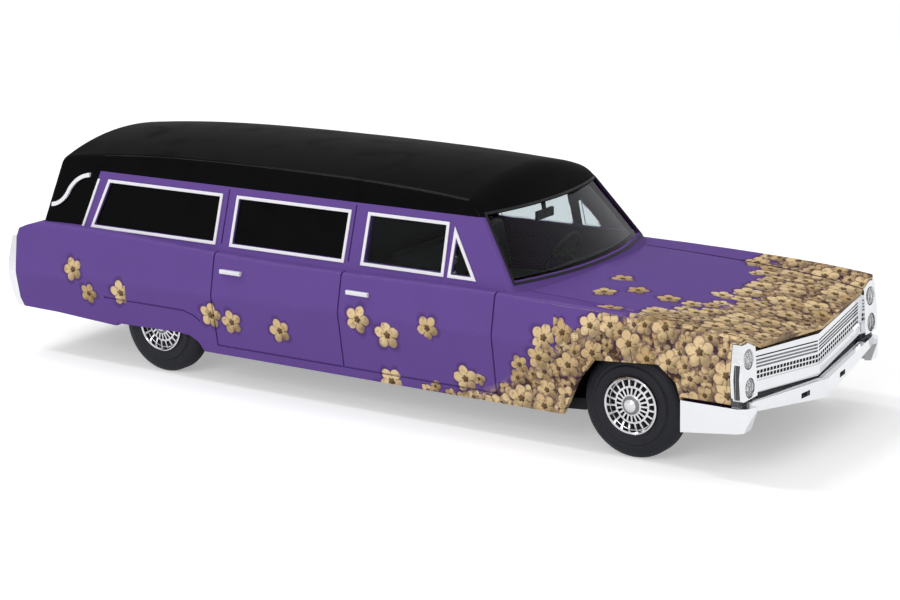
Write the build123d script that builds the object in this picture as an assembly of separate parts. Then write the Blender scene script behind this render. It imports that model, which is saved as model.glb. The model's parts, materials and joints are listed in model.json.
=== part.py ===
"""Scale model of a mid-1960s hearse, 1:87: millimetres, +X forward, +Y left, +Z up, wheels on Z = 0."""
import os
from collections import namedtuple
from math import atan, degrees, pi, sqrt

from build123d import *

# Overall lengths, all taken from the axles
WHEELBASE = 45.8
FRONT_OVERHANG = 10.9
REAR_OVERHANG = 16.8
LENGTH = FRONT_OVERHANG + WHEELBASE + REAR_OVERHANG
FRONT_X = LENGTH / 2 - FRONT_OVERHANG
REAR_X = FRONT_X - WHEELBASE

# Widest half-width of the body; every width below is drawn in from it
BODY_HALF = 11.75

# Moulding
WALL = 0.7
NOSE_WALL = 0.35
FIT = 0.05
SEAM_WIDTH = 0.15
SEAM_DEPTH = 0.13

# Wheels and axles
TYRE_RADIUS = 4.1
TYRE_WIDTH = 2.1
TYRE_SECTION = 1.88
SIDEWALL_STEP = 0.75
RIM_RADIUS = TYRE_RADIUS - TYRE_SECTION
SIDEWALL_RADIUS = RIM_RADIUS + SIDEWALL_STEP
RIM_LIP = 0.2
SPOKE_COUNT = 20
SPOKE_WIDTH = 0.14
SPOKE_DEPTH = 0.5
HUB_RADIUS = 0.62
FRONT_WHEEL_INSET = 1.1
REAR_WHEEL_INSET = 1.3
FRONT_TRACK = 2 * (BODY_HALF - FRONT_WHEEL_INSET) - TYRE_WIDTH
REAR_TRACK = 2 * (BODY_HALF - REAR_WHEEL_INSET) - TYRE_WIDTH
AXLE_RADIUS = 0.5
AXLE_CLEARANCE = 0.05
PRESS_CLEARANCE = 0.01
WHEEL_ROOM = 0.25

# Body side
SILL_Z = 2.7
FENDER_LOW_Z = 5.7
TAIL_LOW_Z = 3.95
CREASE_ROUND = 1.2
BELT_ROUND = 0.35
NOSE_X = FRONT_X + FRONT_OVERHANG - 0.55
NOSE_SWEEP = 0.9
FENDER_END_X = NOSE_X - 1.7
HOOD_HALF = BODY_HALF - 2.5
BROW_X = NOSE_X - 1.0
BROW_IN_Z = 9.0
BROW_OUT_Z = 10.2

# Cabin
BELT_Y = BODY_HALF - 1.45
BELT_Z = 11.3
TUMBLEHOME = 0.327
CABIN_BASE_Z = BELT_Z - 0.9
ROOF_EDGE_ROUND = 0.5
SCREEN_X = FRONT_X - 8.65
SCREEN_SWEEP = 2.33
SCREEN_Z = 11.8
SCREEN_RAKE = -0.853
TAIL_X = REAR_X - 13.9
TAIL_SWEEP = 0.9
TAIL_Z = 12.0
TAIL_RAKE = 0.24
PLAN_HALF = BODY_HALF - 0.95
HEADER_ROUND = 2.4
TAIL_ROUND = 1.0
ROOF_SPLIT_Z = 16.4

# Glazing
PANE = 0.45
PANE_SET = 0.15
WINDOW_LOW_Z = 12.0
WINDOW_HIGH_Z = 15.55
WINDOW_ROUND = 0.18
SCREEN_LOW_Z = 11.95
SCREEN_HIGH_Z = 16.5
PILLAR = 0.5
TAIL_GLASS_HALF = 6.3
TAIL_GLASS_TAPER = 0.4
TAIL_GLASS_LOW_Z = 13.0
TAIL_GLASS_HIGH_Z = 16.4

# Chassis and cabin fittings
BASE_HALF = BODY_HALF - 2.4
BASE_THICK = 0.9
BASE_LOW_Z = 2.6
BASE_TAIL_Z = 4.3
BEARING_GAP = 0.5
BEARING_WIDTH = 1.2
BEARING_LENGTH = 2.2
TUB_HALF = BODY_HALF - 4.25
TUB_FLOOR_Z = 5.4
TUB_FLOOR = 0.7
SEAT_Z = 8.4
SEAT_BACK_Z = 12.3
DASH_Z = 11.1
WHEEL_Y = 4.0
STEERING_RADIUS = 1.9

# Front and rear brightwork
GRILLE_SETBACK = 0.3
GRILLE_DEPTH = 0.9
GRILLE_RIB = 0.1
GRILLE_BAR_STAND = 0.14
LAMP_RADIUS = 0.74
LAMP_LOW_Z = 6.85
LAMP_HIGH_Z = 8.95
BEZEL_LOW_Z = 5.4
BEZEL_GAP_HIGH_Z = 6.05
BEZEL_IN = HOOD_HALF + FIT
LAMP_Y = (BEZEL_IN + BODY_HALF) / 2 - 0.1
BUMPER_END_LOW_Z = 3.15
BUMPER_END_HIGH_Z = 5.55
BUMPER_DEPTH = 1.35
TAIL_LAMP_IN = 1.95
TAIL_LAMP_WIDTH = 0.9


def front(s):
    """X of a point s ahead of the front axle."""
    return FRONT_X + s


def rear(s):
    """X of a point s ahead of the rear axle."""
    return REAR_X + s


Station = namedtuple("Station", "x sill_in crease_in crease_z belt_in belt_z valley_in valley_z centre_z")
BODY = [
    Station(NOSE_X + 0.45, 0.75, 0.12, 7.60, 0.55, 10.55, 2.5, 9.50, 8.85),
    Station(front(6.0), 0.75, 0.08, 7.80, 0.60, 11.00, 2.7, 10.35, 10.10),
    Station(front(-2.0), 0.75, 0.00, 8.00, 0.65, 11.28, 2.9, 10.95, 11.05),
    Station(front(-11.0), 0.75, 0.00, 8.15, 0.65, 11.38, 2.9, 11.25, 11.75),
    Station(front(-25.0), 0.75, 0.00, 8.10, 0.70, 11.22, 2.9, 11.25, 11.60),
    Station(rear(0.3), 0.75, 0.00, 7.70, 0.70, 11.60, 2.9, 11.60, 11.90),
    Station(rear(-10.2), 0.90, 0.20, 7.30, 0.85, 11.80, 2.9, 11.80, 11.90),
    Station(rear(-16.3), 1.15, 0.50, 7.00, 1.15, 11.60, 2.9, 11.60, 11.70),
]

RoofStation = namedtuple("RoofStation", "x edge_z crown_z")
ROOF = [
    RoofStation(front(-7.0), 17.00, 18.60),
    RoofStation(front(-16.0), 17.55, 19.05),
    RoofStation(front(-26.0), 18.10, 19.35),
    RoofStation(rear(7.8), 18.25, 19.42),
    RoofStation(rear(-4.2), 17.95, 19.25),
    RoofStation(rear(-11.2), 17.30, 18.75),
    RoofStation(rear(-17.7), 16.40, 17.90),
]

ArchPoint = namedtuple("ArchPoint", "ahead z")
FRONT_ARCH = [
    ArchPoint(-6.0, 1.9), ArchPoint(-4.1, 5.6), ArchPoint(-2.6, 7.5), ArchPoint(2.9, 7.95),
    ArchPoint(4.3, 6.7), ArchPoint(4.65, 5.0), ArchPoint(4.65, 1.9),
]
ARCH_ROUND = 0.4

REAR_DOOR_X = rear(6.9)
MID_DOOR_X = front(-25.9)
FRONT_DOOR_X = front(-11.4)
DOOR_LOW_Z = 3.5
Handle = namedtuple("Handle", "x z")
HANDLES = [Handle(MID_DOOR_X + 1.8, 9.80), Handle(REAR_DOOR_X + 1.95, 9.95)]
HANDLE_LENGTH = 2.15
HANDLE_HEIGHT = 0.34
HANDLE_STAND = 0.28
LANDAU_WIDTH = 0.34
TAIL_END = [
    (rear(-15.4), TAIL_LOW_Z), (rear(-15.75), TAIL_LOW_Z + 0.75), (rear(-15.85), 8.0), (rear(-15.85), 10.2),
]
SKIRT_LINE = [(-5.3, 6.22), (3.6, 6.22), (4.7, 5.9), (5.3, 5.45)]

QUARTER_WINDOW = [
    (rear(-7.2), WINDOW_LOW_Z), (REAR_DOOR_X - 0.85, WINDOW_LOW_Z),
    (REAR_DOOR_X - 0.85, WINDOW_HIGH_Z), (rear(-6.15), WINDOW_HIGH_Z),
]
REAR_DOOR_WINDOW = [
    (REAR_DOOR_X + 1.15, WINDOW_LOW_Z), (MID_DOOR_X - 0.65, WINDOW_LOW_Z),
    (MID_DOOR_X - 0.65, WINDOW_HIGH_Z), (REAR_DOOR_X + 1.15, WINDOW_HIGH_Z),
]
FRONT_DOOR_WINDOW = [
    (MID_DOOR_X + 1.5, WINDOW_LOW_Z), (front(-17.0), WINDOW_LOW_Z),
    (front(-17.15), WINDOW_HIGH_Z), (MID_DOOR_X + 1.5, WINDOW_HIGH_Z),
]
VENT_WINDOW = [
    (front(-16.1), WINDOW_LOW_Z), (front(-14.2), WINDOW_LOW_Z), (front(-16.1), WINDOW_HIGH_Z - 0.85),
]


def side_prism(points, y_low, y_high, radius=0.0):
    """Solid of an X-Z outline between two Y planes."""
    face = make_face(Polyline(*points, close=True))
    if radius:
        face = fillet(face.vertices(), radius)
    return Pos(0, y_low, 0) * extrude(Plane.XZ * face, y_high - y_low, dir=(0, 1, 0))


def plan_prism(points, z_low, z_high, radius=0.0):
    """Solid of an X-Y outline between two heights."""
    face = make_face(Polyline(*points, close=True))
    if radius:
        face = fillet(face.vertices(), radius)
    return Pos(0, 0, z_low) * extrude(face, z_high - z_low)


def cross_prism(points, x_low, x_high, radius=0.0):
    """Solid of a Y-Z outline between two X planes."""
    face = make_face(Polyline(*points, close=True))
    if radius:
        face = fillet(face.vertices(), radius)
    return Pos(x_low, 0, 0) * extrude(Plane.YZ * face, x_high - x_low, dir=(1, 0, 0))


def block(x_low, x_high, y_low, y_high, z_low, z_high):
    """Box between two corners."""
    size = Box(x_high - x_low, y_high - y_low, z_high - z_low)
    return Pos((x_low + x_high) / 2, (y_low + y_high) / 2, (z_low + z_high) / 2) * size


def rod_x(y, z, radius, x_low, x_high):
    """Cylinder along X."""
    return Pos((x_low + x_high) / 2, y, z) * Rot(0, 90, 0) * Cylinder(radius, x_high - x_low)


def rod_y(x, z, radius, y_low, y_high):
    """Cylinder along Y."""
    return Pos(x, (y_low + y_high) / 2, z) * Rot(90, 0, 0) * Cylinder(radius, y_high - y_low)


def both_sides(solid):
    """The solid and its mirror image across the centre plane."""
    return [solid, mirror(solid, Plane.XZ)]


def body_section(s, inset=0.0, drop=0.0):
    """Cross-section of the lower body at one station, drawn in by the inset."""
    half = [
        (BODY_HALF - s.sill_in - inset, SILL_Z - drop), (BODY_HALF - s.crease_in - inset, s.crease_z),
        (BODY_HALF - s.belt_in - inset, s.belt_z - inset),
        (BODY_HALF - s.valley_in - inset, s.valley_z - inset), (0, s.centre_z - inset),
    ]
    face = make_face(Polyline(*half, *[(-y, z) for y, z in reversed(half[:-1])], close=True))
    for corner, radius in ((half[1], CREASE_ROUND), (half[2], BELT_ROUND)):
        ends = [v for v in face.vertices() if abs(abs(v.X) - corner[0]) + abs(v.Y - corner[1]) < 1e-6]
        face = fillet(ends, radius)
    return Plane(origin=(s.x, 0, 0), x_dir=(0, 1, 0), z_dir=(1, 0, 0)) * face


def body_loft(inset=0.0):
    """Smooth solid through the body stations."""
    return loft([body_section(s, inset) for s in BODY])


def body_cavity():
    """Hollow of the lower body, open below and through the thin nose."""
    nose = body_section(BODY[0]._replace(x=FRONT_X + FRONT_OVERHANG + 2), NOSE_WALL, 1.5)
    middle = [body_section(s, WALL, 1.5) for s in BODY[1:-1]]
    tail = body_section(BODY[-1]._replace(x=rear(-13.9)), WALL, 1.5)
    return loft([nose, *middle, tail])


def side_y(z, inset=0.0):
    """Half-width of the cabin side at a height."""
    return BELT_Y - (z - BELT_Z) * TUMBLEHOME - inset


def roof_section(s, inset):
    """Cross-section of the cabin at one station, drawn in by the inset."""
    edge_z = s.edge_z - inset
    base = (side_y(CABIN_BASE_Z, inset), CABIN_BASE_Z)
    edge = (side_y(edge_z, inset), edge_z)
    arc = ThreePointArc(edge, (0, s.crown_z - inset), (-edge[0], edge[1]))
    sides = Polyline((-edge[0], edge[1]), (-base[0], base[1]), base, edge)
    return Plane(origin=(s.x, 0, 0), x_dir=(0, 1, 0), z_dir=(1, 0, 0)) * make_face([arc, *sides.edges()])


def raked_prism(x_mid, sweep, x_far, z_ref, rake, z_low=9.0, z_high=21.0):
    """Solid with one curved, raked end; the curve passes x_mid at z_ref and falls back by the sweep."""
    shift = rake * (z_low - z_ref)
    ends = [(x_mid + sweep + shift, PLAN_HALF), (x_mid + shift, 0), (x_mid + sweep + shift, -PLAN_HALF)]
    back = Polyline(ends[2], (x_far, -PLAN_HALF), (x_far, PLAN_HALF), ends[0])
    face = make_face([ThreePointArc(*ends), *back.edges()])
    run = (z_high - z_low) * sqrt(1 + rake * rake)
    return Pos(0, 0, z_low) * extrude(face, run, dir=(rake, 0, 1))


def screen_prism(inset):
    """Everything behind the windscreen face."""
    setback = inset * sqrt(1 + SCREEN_RAKE ** 2)
    return raked_prism(SCREEN_X - setback, -SCREEN_SWEEP, rear(-40), SCREEN_Z, SCREEN_RAKE)


def tail_prism(inset):
    """Everything ahead of the tailgate face."""
    setback = inset * sqrt(1 + TAIL_RAKE ** 2)
    return raked_prism(TAIL_X + setback, TAIL_SWEEP, front(30), TAIL_Z, TAIL_RAKE)


def cabin_volume(inset):
    """Cabin volume with sharp edges, drawn in by the inset."""
    return loft([roof_section(s, inset) for s in ROOF]) & screen_prism(inset) & tail_prism(inset)


def cabin_solid():
    """Outer cabin with the header, the tail and the roof edges rounded."""
    solid = cabin_volume(0.0)
    for end, radius in ((-1, HEADER_ROUND), (0, TAIL_ROUND)):
        top = solid.faces().sort_by(Axis.Z)[-1]
        solid = fillet([top.edges().sort_by(Axis.X)[end]], radius)
    upper = [e for e in solid.edges() if e.center().Z > ROOF_SPLIT_Z + 0.4]
    return fillet([e for e in upper if abs(e.center().Y) > 0.65 * BELT_Y], ROOF_EDGE_ROUND)


def body_outline():
    """Side view of the lower body: fender ends, sills, rear skirts and the tail fins."""
    return side_prism([
        (front(14), 14), (front(14), FENDER_LOW_Z), (front(4.6), FENDER_LOW_Z), (front(4.6), SILL_Z - 1.2),
        (rear(5.3), SILL_Z - 1.2), (rear(5.3), SILL_Z), (rear(4.75), 3.5), (rear(3.9), 3.95),
        (rear(2.6), 4.05), (rear(-4.2), 3.9), (rear(-4.4), 3.65), (rear(-11.2), TAIL_LOW_Z),
        *TAIL_END, (rear(-15.6), 10.95), (rear(-14.6), 11.35), (rear(-12.6), 11.85),
        (rear(-10.2), 12.3), (rear(-7.7), 14),
    ], -15, 15)


def nose_outline():
    """Plan view of the nose: fender ends square, bonnet edge swept to a prow."""
    edge = [(FENDER_END_X, 15), (FENDER_END_X, HOOD_HALF), (NOSE_X - NOSE_SWEEP, HOOD_HALF)]
    return plan_prism([
        (rear(-40), 15), *edge, (NOSE_X, 0), *[(x, -y) for x, y in reversed(edge)], (rear(-40), -15),
    ], 0, 25)


def brow(x_end, clearance=0.0):
    """Thin lip of the left fender over its lamp bezel, or the room that it takes."""
    region = cross_prism([
        (HOOD_HALF, BROW_IN_Z - clearance), (BODY_HALF - 0.9, BROW_OUT_Z - clearance),
        (BODY_HALF + 1, BROW_OUT_Z - clearance), (BODY_HALF + 1, 13), (HOOD_HALF, 13),
    ], FENDER_END_X - 0.1, x_end)
    return region - body_loft(NOSE_WALL + clearance)


def roof_region():
    """Side view of the black roof moulding with its closed rear quarters."""
    return side_prism([
        (front(0), ROOF_SPLIT_Z), (rear(-7.45), ROOF_SPLIT_Z), (rear(-8.8), BELT_Z - 0.3),
        (rear(-25), BELT_Z - 0.3), (rear(-25), 25), (front(0), 25),
    ], -15, 15)


def window_holes():
    """Cutters for every side window."""
    outlines = (QUARTER_WINDOW, REAR_DOOR_WINDOW, FRONT_DOOR_WINDOW, VENT_WINDOW)
    return [side_prism(points, -13, 13, WINDOW_ROUND) for points in outlines]


def screen_hole(clearance=0.0):
    """Windscreen opening seen from ahead."""
    low = SCREEN_LOW_Z + clearance
    high = SCREEN_HIGH_Z - clearance
    edge = [(side_y(low, PILLAR + clearance), low), (side_y(high, PILLAR + clearance), high)]
    outline = [*edge, *[(-y, z) for y, z in reversed(edge)]]
    return cross_prism(outline, SCREEN_X - 9, SCREEN_X + 5, WINDOW_ROUND)


def tail_hole(clearance=0.0):
    """Rear window opening seen from behind."""
    half = TAIL_GLASS_HALF - clearance
    low = TAIL_GLASS_LOW_Z + clearance
    high = TAIL_GLASS_HIGH_Z - clearance
    edge = [(half + TAIL_GLASS_TAPER, low), (half - TAIL_GLASS_TAPER, high)]
    outline = [*edge, *[(-y, z) for y, z in reversed(edge)]]
    return cross_prism(outline, TAIL_X - 3, TAIL_X + 5, WINDOW_ROUND)


def wheel_wells():
    """Cutters that give every wheel room inside the body."""
    cutters = [side_prism([(front(p.ahead), p.z) for p in FRONT_ARCH], -13, 13, ARCH_ROUND)]
    for x, track in ((FRONT_X, FRONT_TRACK), (REAR_X, REAR_TRACK)):
        reach = track / 2 + TYRE_WIDTH / 2 + WHEEL_ROOM
        cutters.append(rod_y(x, TYRE_RADIUS, TYRE_RADIUS + WHEEL_ROOM, -reach, reach))
    return cutters


def seam_cutters():
    """Shallow panel lines round the doors, the rear skirts and the bonnet."""
    core = body_loft(SEAM_DEPTH)
    y_low = BELT_Y + 0.1
    y_high = BODY_HALF + 1
    half = SEAM_WIDTH / 2
    low = DOOR_LOW_Z
    door_lines = (REAR_DOOR_X, MID_DOOR_X, FRONT_DOOR_X)
    strips = [block(x - half, x + half, y_low, y_high, low, BELT_Z + 0.9) for x in door_lines]
    strips.append(block(REAR_DOOR_X - half, FRONT_DOOR_X + half, y_low, y_high, low - half, low + half))
    skirt = [(rear(s), z) for s, z in SKIRT_LINE]
    strips.append(side_prism([*skirt, *[(x, z - SEAM_WIDTH) for x, z in reversed(skirt)]], y_low, y_high))
    edge = [(NOSE_X, HOOD_HALF - 0.1), (front(-9.6), HOOD_HALF - 0.35)]
    strips.append(plan_prism([*edge, *[(x, y - SEAM_WIDTH) for x, y in reversed(edge)]], 8, 14))
    cuts = [strip - core for strip in strips]
    skin = side_slab(-0.1, 0.1 + SEAM_DEPTH)
    for x in (REAR_DOOR_X, MID_DOOR_X):
        cuts.append(skin & block(x - half, x + half, 0, BODY_HALF, BELT_Z + 0.6, ROOF_SPLIT_Z - 0.2))
    return [side for cut in cuts for side in both_sides(cut)]


def base_plate():
    """Floor pan with axle bearings and the moulded running gear below it."""
    low = [
        (rear(-13.7), BASE_TAIL_Z + 0.6), (rear(-4.9), BASE_TAIL_Z), (rear(5.3), BASE_LOW_Z),
        (front(-6.5), BASE_LOW_Z), (front(4.0), 3.4), (front(8.0), 4.0),
    ]
    plate = side_prism([*low, *[(x, z + BASE_THICK) for x, z in reversed(low)]], -BASE_HALF, BASE_HALF)
    for x, track in ((FRONT_X, FRONT_TRACK), (REAR_X, REAR_TRACK)):
        tyre_in = track / 2 - TYRE_WIDTH / 2
        bearing_out = tyre_in - BEARING_GAP
        bearing_in = bearing_out - BEARING_WIDTH
        reach = TYRE_RADIUS + WHEEL_ROOM + 0.2
        plate -= both_sides(block(x - reach, x + reach, tyre_in - WHEEL_ROOM, BODY_HALF + 1, 0, 10))
        half = BEARING_LENGTH / 2
        z = TYRE_RADIUS
        plate += both_sides(block(x - half, x + half, bearing_in, bearing_out, z - 1.0, z + 1.1))
        room = AXLE_RADIUS + WHEEL_ROOM
        plate -= block(x - room, x + room, -bearing_in + 0.4, bearing_in - 0.4, z - room, z + 3)
        plate -= rod_y(x, z, AXLE_RADIUS + AXLE_CLEARANCE, -BODY_HALF, BODY_HALF)
    back = rear(5.7)
    top = BASE_LOW_Z + 0.1
    gear = [block(back, front(-6.8), y - 0.45, y + 0.45, BASE_LOW_Z - 0.5, top) for y in (-5.2, 5.2)]
    gear.append(block(front(-16.5), front(-7.5), -1.3, 1.3, BASE_LOW_Z - 0.7, top))
    gear.append(rod_x(-3.3, BASE_LOW_Z - 0.05, 0.32, back, front(-8)))
    gear.append(rod_x(0, BASE_LOW_Z - 0.1, 0.4, back, front(-16)))
    gear.append(block(front(-27), front(-21), -4.3, -2.3, BASE_LOW_Z - 0.65, top))
    return plate + gear


def tub():
    """Cabin moulding: floor, bench, dashboard and the partition behind the driver."""
    floor = block(rear(6.3), front(-10.6), -TUB_HALF, TUB_HALF, TUB_FLOOR_Z, TUB_FLOOR_Z + TUB_FLOOR)
    bench = side_prism([
        (front(-23.2), TUB_FLOOR_Z), (front(-17.6), TUB_FLOOR_Z), (front(-17.4), SEAT_Z),
        (front(-21.6), SEAT_Z - 0.2), (front(-22.6), SEAT_BACK_Z), (front(-23.6), SEAT_BACK_Z),
    ], -TUB_HALF + 0.2, TUB_HALF - 0.2, 0.25)
    dash = side_prism([
        (front(-10.5), TUB_FLOOR_Z), (front(-10.5), DASH_Z - 0.5), (front(-10.9), DASH_Z),
        (front(-12.3), DASH_Z), (front(-12.6), DASH_Z - 0.7), (front(-11.8), DASH_Z - 1.9),
        (front(-11.0), TUB_FLOOR_Z),
    ], -TUB_HALF - 0.5, TUB_HALF + 0.5)
    step_z = BELT_Z - 0.7
    top_z = ROOF_SPLIT_Z + 0.2
    inset = WALL + 0.3
    edge = [
        (TUB_HALF, TUB_FLOOR_Z), (TUB_HALF, step_z), (side_y(step_z, inset), step_z),
        (side_y(top_z, inset), top_z),
    ]
    wall = cross_prism([*edge, *[(-y, z) for y, z in reversed(edge)]], MID_DOOR_X, MID_DOOR_X + WALL)
    foot_z = BASE_LOW_Z + BASE_THICK + FIT
    feet = [block(x - 0.6, x + 0.6, -5, 5, foot_z, TUB_FLOOR_Z + 0.3) for x in (rear(8.3), front(-14.0))]
    return floor + [bench, dash, wall, *feet]


def steering_wheel():
    """Rim, spoke and column on the left, with the column's end at the dashboard."""
    tilt = Pos(front(-14.6), WHEEL_Y, DASH_Z - 0.1) * Rot(0, -62, 0)
    rim = tilt * Torus(STEERING_RADIUS, 0.14)
    spoke = tilt * Box(0.22, 2 * STEERING_RADIUS, 0.14)
    boss = tilt * Cylinder(0.36, 0.3)
    column = tilt * Pos(0, 0, -1.3) * Cylinder(0.16, 2.6)
    return rim + [spoke, boss, column]


def turned(profile):
    """Solid turned about Z from an outline of radius and height."""
    return revolve(Plane.XZ * make_face(Polyline(*profile, close=True)), Axis.Z)


def on_axle(solid, x, side, track):
    """Sets a turned wheel part on its axle, outer face outwards."""
    return Pos(x, side * track / 2, TYRE_RADIUS) * Rot(-90 * side, 0, 0) * solid


def tyre():
    """Tyre with rounded shoulders and a step in its outer sidewall."""
    w = TYRE_WIDTH / 2
    r = TYRE_RADIUS
    bore = RIM_RADIUS + PRESS_CLEARANCE
    bead = [(bore, w - 0.1), (SIDEWALL_RADIUS, w)]
    shoulder = [(r - 0.5, w - 0.12), (r - 0.15, w - 0.32), (r, w - 0.65)]
    outer = [*bead, (SIDEWALL_RADIUS + 0.1, w - 0.1), *shoulder]
    inner = [(q, -h) for q, h in reversed([*bead, *shoulder])]
    return turned([*outer, *inner])


def wheel_insert():
    """Wire-style insert: lip, two rings of spokes and a domed hub, pressed on the axle."""
    w = TYRE_WIDTH / 2
    r = RIM_RADIUS
    dish = w - 0.4
    bore = AXLE_RADIUS + PRESS_CLEARANCE
    ring = r - RIM_LIP
    disc = turned([
        (bore, -w + 0.35), (r, -w + 0.35), (r, w + 0.02), (r - RIM_LIP / 2, w + 0.1), (ring, w),
        (ring - 0.06, dish), (HUB_RADIUS + 0.14, dish + 0.22), (HUB_RADIUS, dish + 0.32),
        (HUB_RADIUS * 0.8, w + 0.02), (HUB_RADIUS * 0.4, w + 0.12), (0, w + 0.15), (0, w - 0.3),
        (bore, w - 0.3),
    ])
    root = HUB_RADIUS + 0.2
    tip = ring - 0.1
    web_in = (root + tip - SPOKE_WIDTH) / 2
    pitch = 2 * pi / SPOKE_COUNT
    slots = []
    for low, high, turn in ((root, web_in, 0.5), (web_in + SPOKE_WIDTH, tip, 0.0)):
        reach = [(q, (q * pitch - SPOKE_WIDTH) / 2) for q in (low, high)]
        cutter = plan_prism([*reach, *[(q, -h) for q, h in reversed(reach)]], dish - SPOKE_DEPTH, w + 1)
        slots += [Rot(0, 0, 360 / SPOKE_COUNT * (i + turn)) * cutter for i in range(SPOKE_COUNT)]
    return disc - slots


def axle(x, track):
    """Steel pin that carries one pair of wheels."""
    reach = track / 2 + TYRE_WIDTH / 2 - 0.3 - FIT
    return rod_y(x, TYRE_RADIUS, AXLE_RADIUS, -reach, reach)


Band = namedtuple("Band", "low_z low_rise high_z high_rise")
GRILLE_FACE = Band(5.2, 0.09, 11.0, 0.09)
GRILLE_BAR = Band(5.35, 0.09, 6.1, 0.09)
GRILLE_WEB = Band(4.8, 0.09, 5.5, 0.09)
BUMPER_BAR = Band(3.65, 0.14, 5.1, 0.07)

GrilleCells = namedtuple("GrilleCells", "low_z high_z rows columns depth")
GRILLE_CELLS = [
    GrilleCells(6.2, 6.9, 2, 20, 0.45), GrilleCells(7.0, 7.75, 3, 1, 0.22), GrilleCells(7.8, 8.0, 1, 1, 0.45),
]


def prow(x_mid, half, depth, band):
    """Bar with the bonnet's swept plan, dipping to the centre in a V."""
    x_end = x_mid - NOSE_SWEEP * half / HOOD_HALF
    plan = plan_prism([
        (x_end, -half), (x_mid, 0), (x_end, half), (x_end - depth, half), (x_mid - depth, 0),
        (x_end - depth, -half),
    ], 0, 15)
    low = [(y, band.low_z + abs(y) * band.low_rise) for y in (-half, 0, half)]
    high = [(y, band.high_z + abs(y) * band.high_rise) for y in (half, 0, -half)]
    return plan & cross_prism([*low, *high], FRONT_X, x_mid + 1)


def grille_cells(face_x):
    """Rows of cells and long grooves sunk into both halves of the swept grille face."""
    reach = HOOD_HALF - 0.25
    lean = NOSE_SWEEP / HOOD_HALF
    rise = GRILLE_FACE.low_rise
    turn = Rot(degrees(atan(rise)), 0, degrees(atan(lean)))
    cells = []
    for c in GRILLE_CELLS:
        pitch = reach / c.columns
        height = (c.high_z - c.low_z) / c.rows
        cell = turn * Box(2 * c.depth, pitch - GRILLE_RIB, height - GRILLE_RIB)
        for row in range(c.rows):
            for column in range(c.columns):
                y = (column + 0.5) * pitch
                spot = Pos(face_x - lean * y, y, c.low_z + (row + 0.5) * height + rise * y)
                cells += both_sides(spot * cell)
    return cells


def lamp_spots():
    """Centres of the stacked headlamps on the left."""
    return [(front(9.15), LAMP_Y, z) for z in (LAMP_HIGH_Z, LAMP_LOW_Z)]


def bumper_end():
    """Wrapped end of the front bumper on the left, undercut at its lower front edge."""
    out = BODY_HALF - 0.05
    low = BUMPER_END_LOW_Z
    high = BUMPER_END_HIGH_Z
    inner = BODY_HALF - 1.4
    plan = plan_prism([
        (front(4.75), out), (front(9.3), out), (front(9.9), out - 0.35), (front(10.3), inner),
        (front(9.2), inner), (front(8.8), out - 0.8), (front(4.75), out - 0.8),
    ], low, high)
    side = side_prism([
        (front(4.5), high + 1), (front(4.75), low), (front(9.75), low + 0.6), (front(10.25), high - 0.3),
        (front(10.4), high + 1),
    ], 0, BODY_HALF + 1)
    return plan & side


def lamp_bezel(body):
    """Upright bezel on the left with two lamp seats, set under the fender's brow."""
    back = FENDER_END_X + FIT
    bezel = body & side_prism([
        (back, BEZEL_LOW_Z), (front(9.75), BEZEL_LOW_Z), (front(9.45), 10.2), (front(9.3), 12), (back, 12),
    ], BEZEL_IN, BODY_HALF + 1)
    bezel -= brow(front(14), FIT)
    for x, y, z in lamp_spots():
        bezel -= rod_x(y, z, LAMP_RADIUS, x, x + 2)
    bezel -= block(back + 0.25, back + 0.7, BODY_HALF - 0.45, BODY_HALF + 1, 6.1, 8.7)
    return bezel - block(front(9.3), front(12), 0, BODY_HALF + 1, BUMPER_END_HIGH_Z, BEZEL_GAP_HIGH_Z)


def front_brightwork(body):
    """Plated front unit: egg-crate grille, stacked lamp bezels and the wrapped bumper."""
    face_x = NOSE_X - GRILLE_SETBACK
    under_hood = extrude(body_section(BODY[0], NOSE_WALL + FIT), 4, dir=(-1, 0, 0))
    unit = prow(face_x, HOOD_HALF + 0.2, GRILLE_DEPTH, GRILLE_FACE) & under_hood
    unit -= grille_cells(face_x)
    unit += prow(face_x + GRILLE_BAR_STAND, HOOD_HALF, 0.5, GRILLE_BAR)
    unit += prow(face_x - 0.2, HOOD_HALF - 1.2, 0.6, GRILLE_WEB)
    unit += prow(front(FRONT_OVERHANG), HOOD_HALF + 1.3, BUMPER_DEPTH, BUMPER_BAR)
    slot = block(front(10.2), front(12), 2.6, 3.8, 4.45, 4.85)
    return unit + both_sides(lamp_bezel(body)) + both_sides(bumper_end()) - both_sides(slot)


def headlamps():
    """Four clear lenses seated in the bezels."""
    lenses = []
    for x, y, z in lamp_spots():
        edge = LAMP_RADIUS - FIT
        bead = [(0, 0), (edge, 0), (edge, 0.35), (edge * 0.62, 0.5), (0, 0.56)]
        lenses += both_sides(Pos(x + FIT, y, z) * Rot(0, 90, 0) * turned(bead))
    return Compound(lenses)


def tail_lamp(x_back, clearance):
    """Upright tail lamp on the left, or its pocket."""
    y_mid = BODY_HALF - TAIL_LAMP_IN
    half = TAIL_LAMP_WIDTH / 2 - clearance
    x_front = rear(-16.3) - clearance
    return block(x_back, x_front, y_mid - half, y_mid + half, 6.8 + clearance, 9.8 - clearance)


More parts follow.
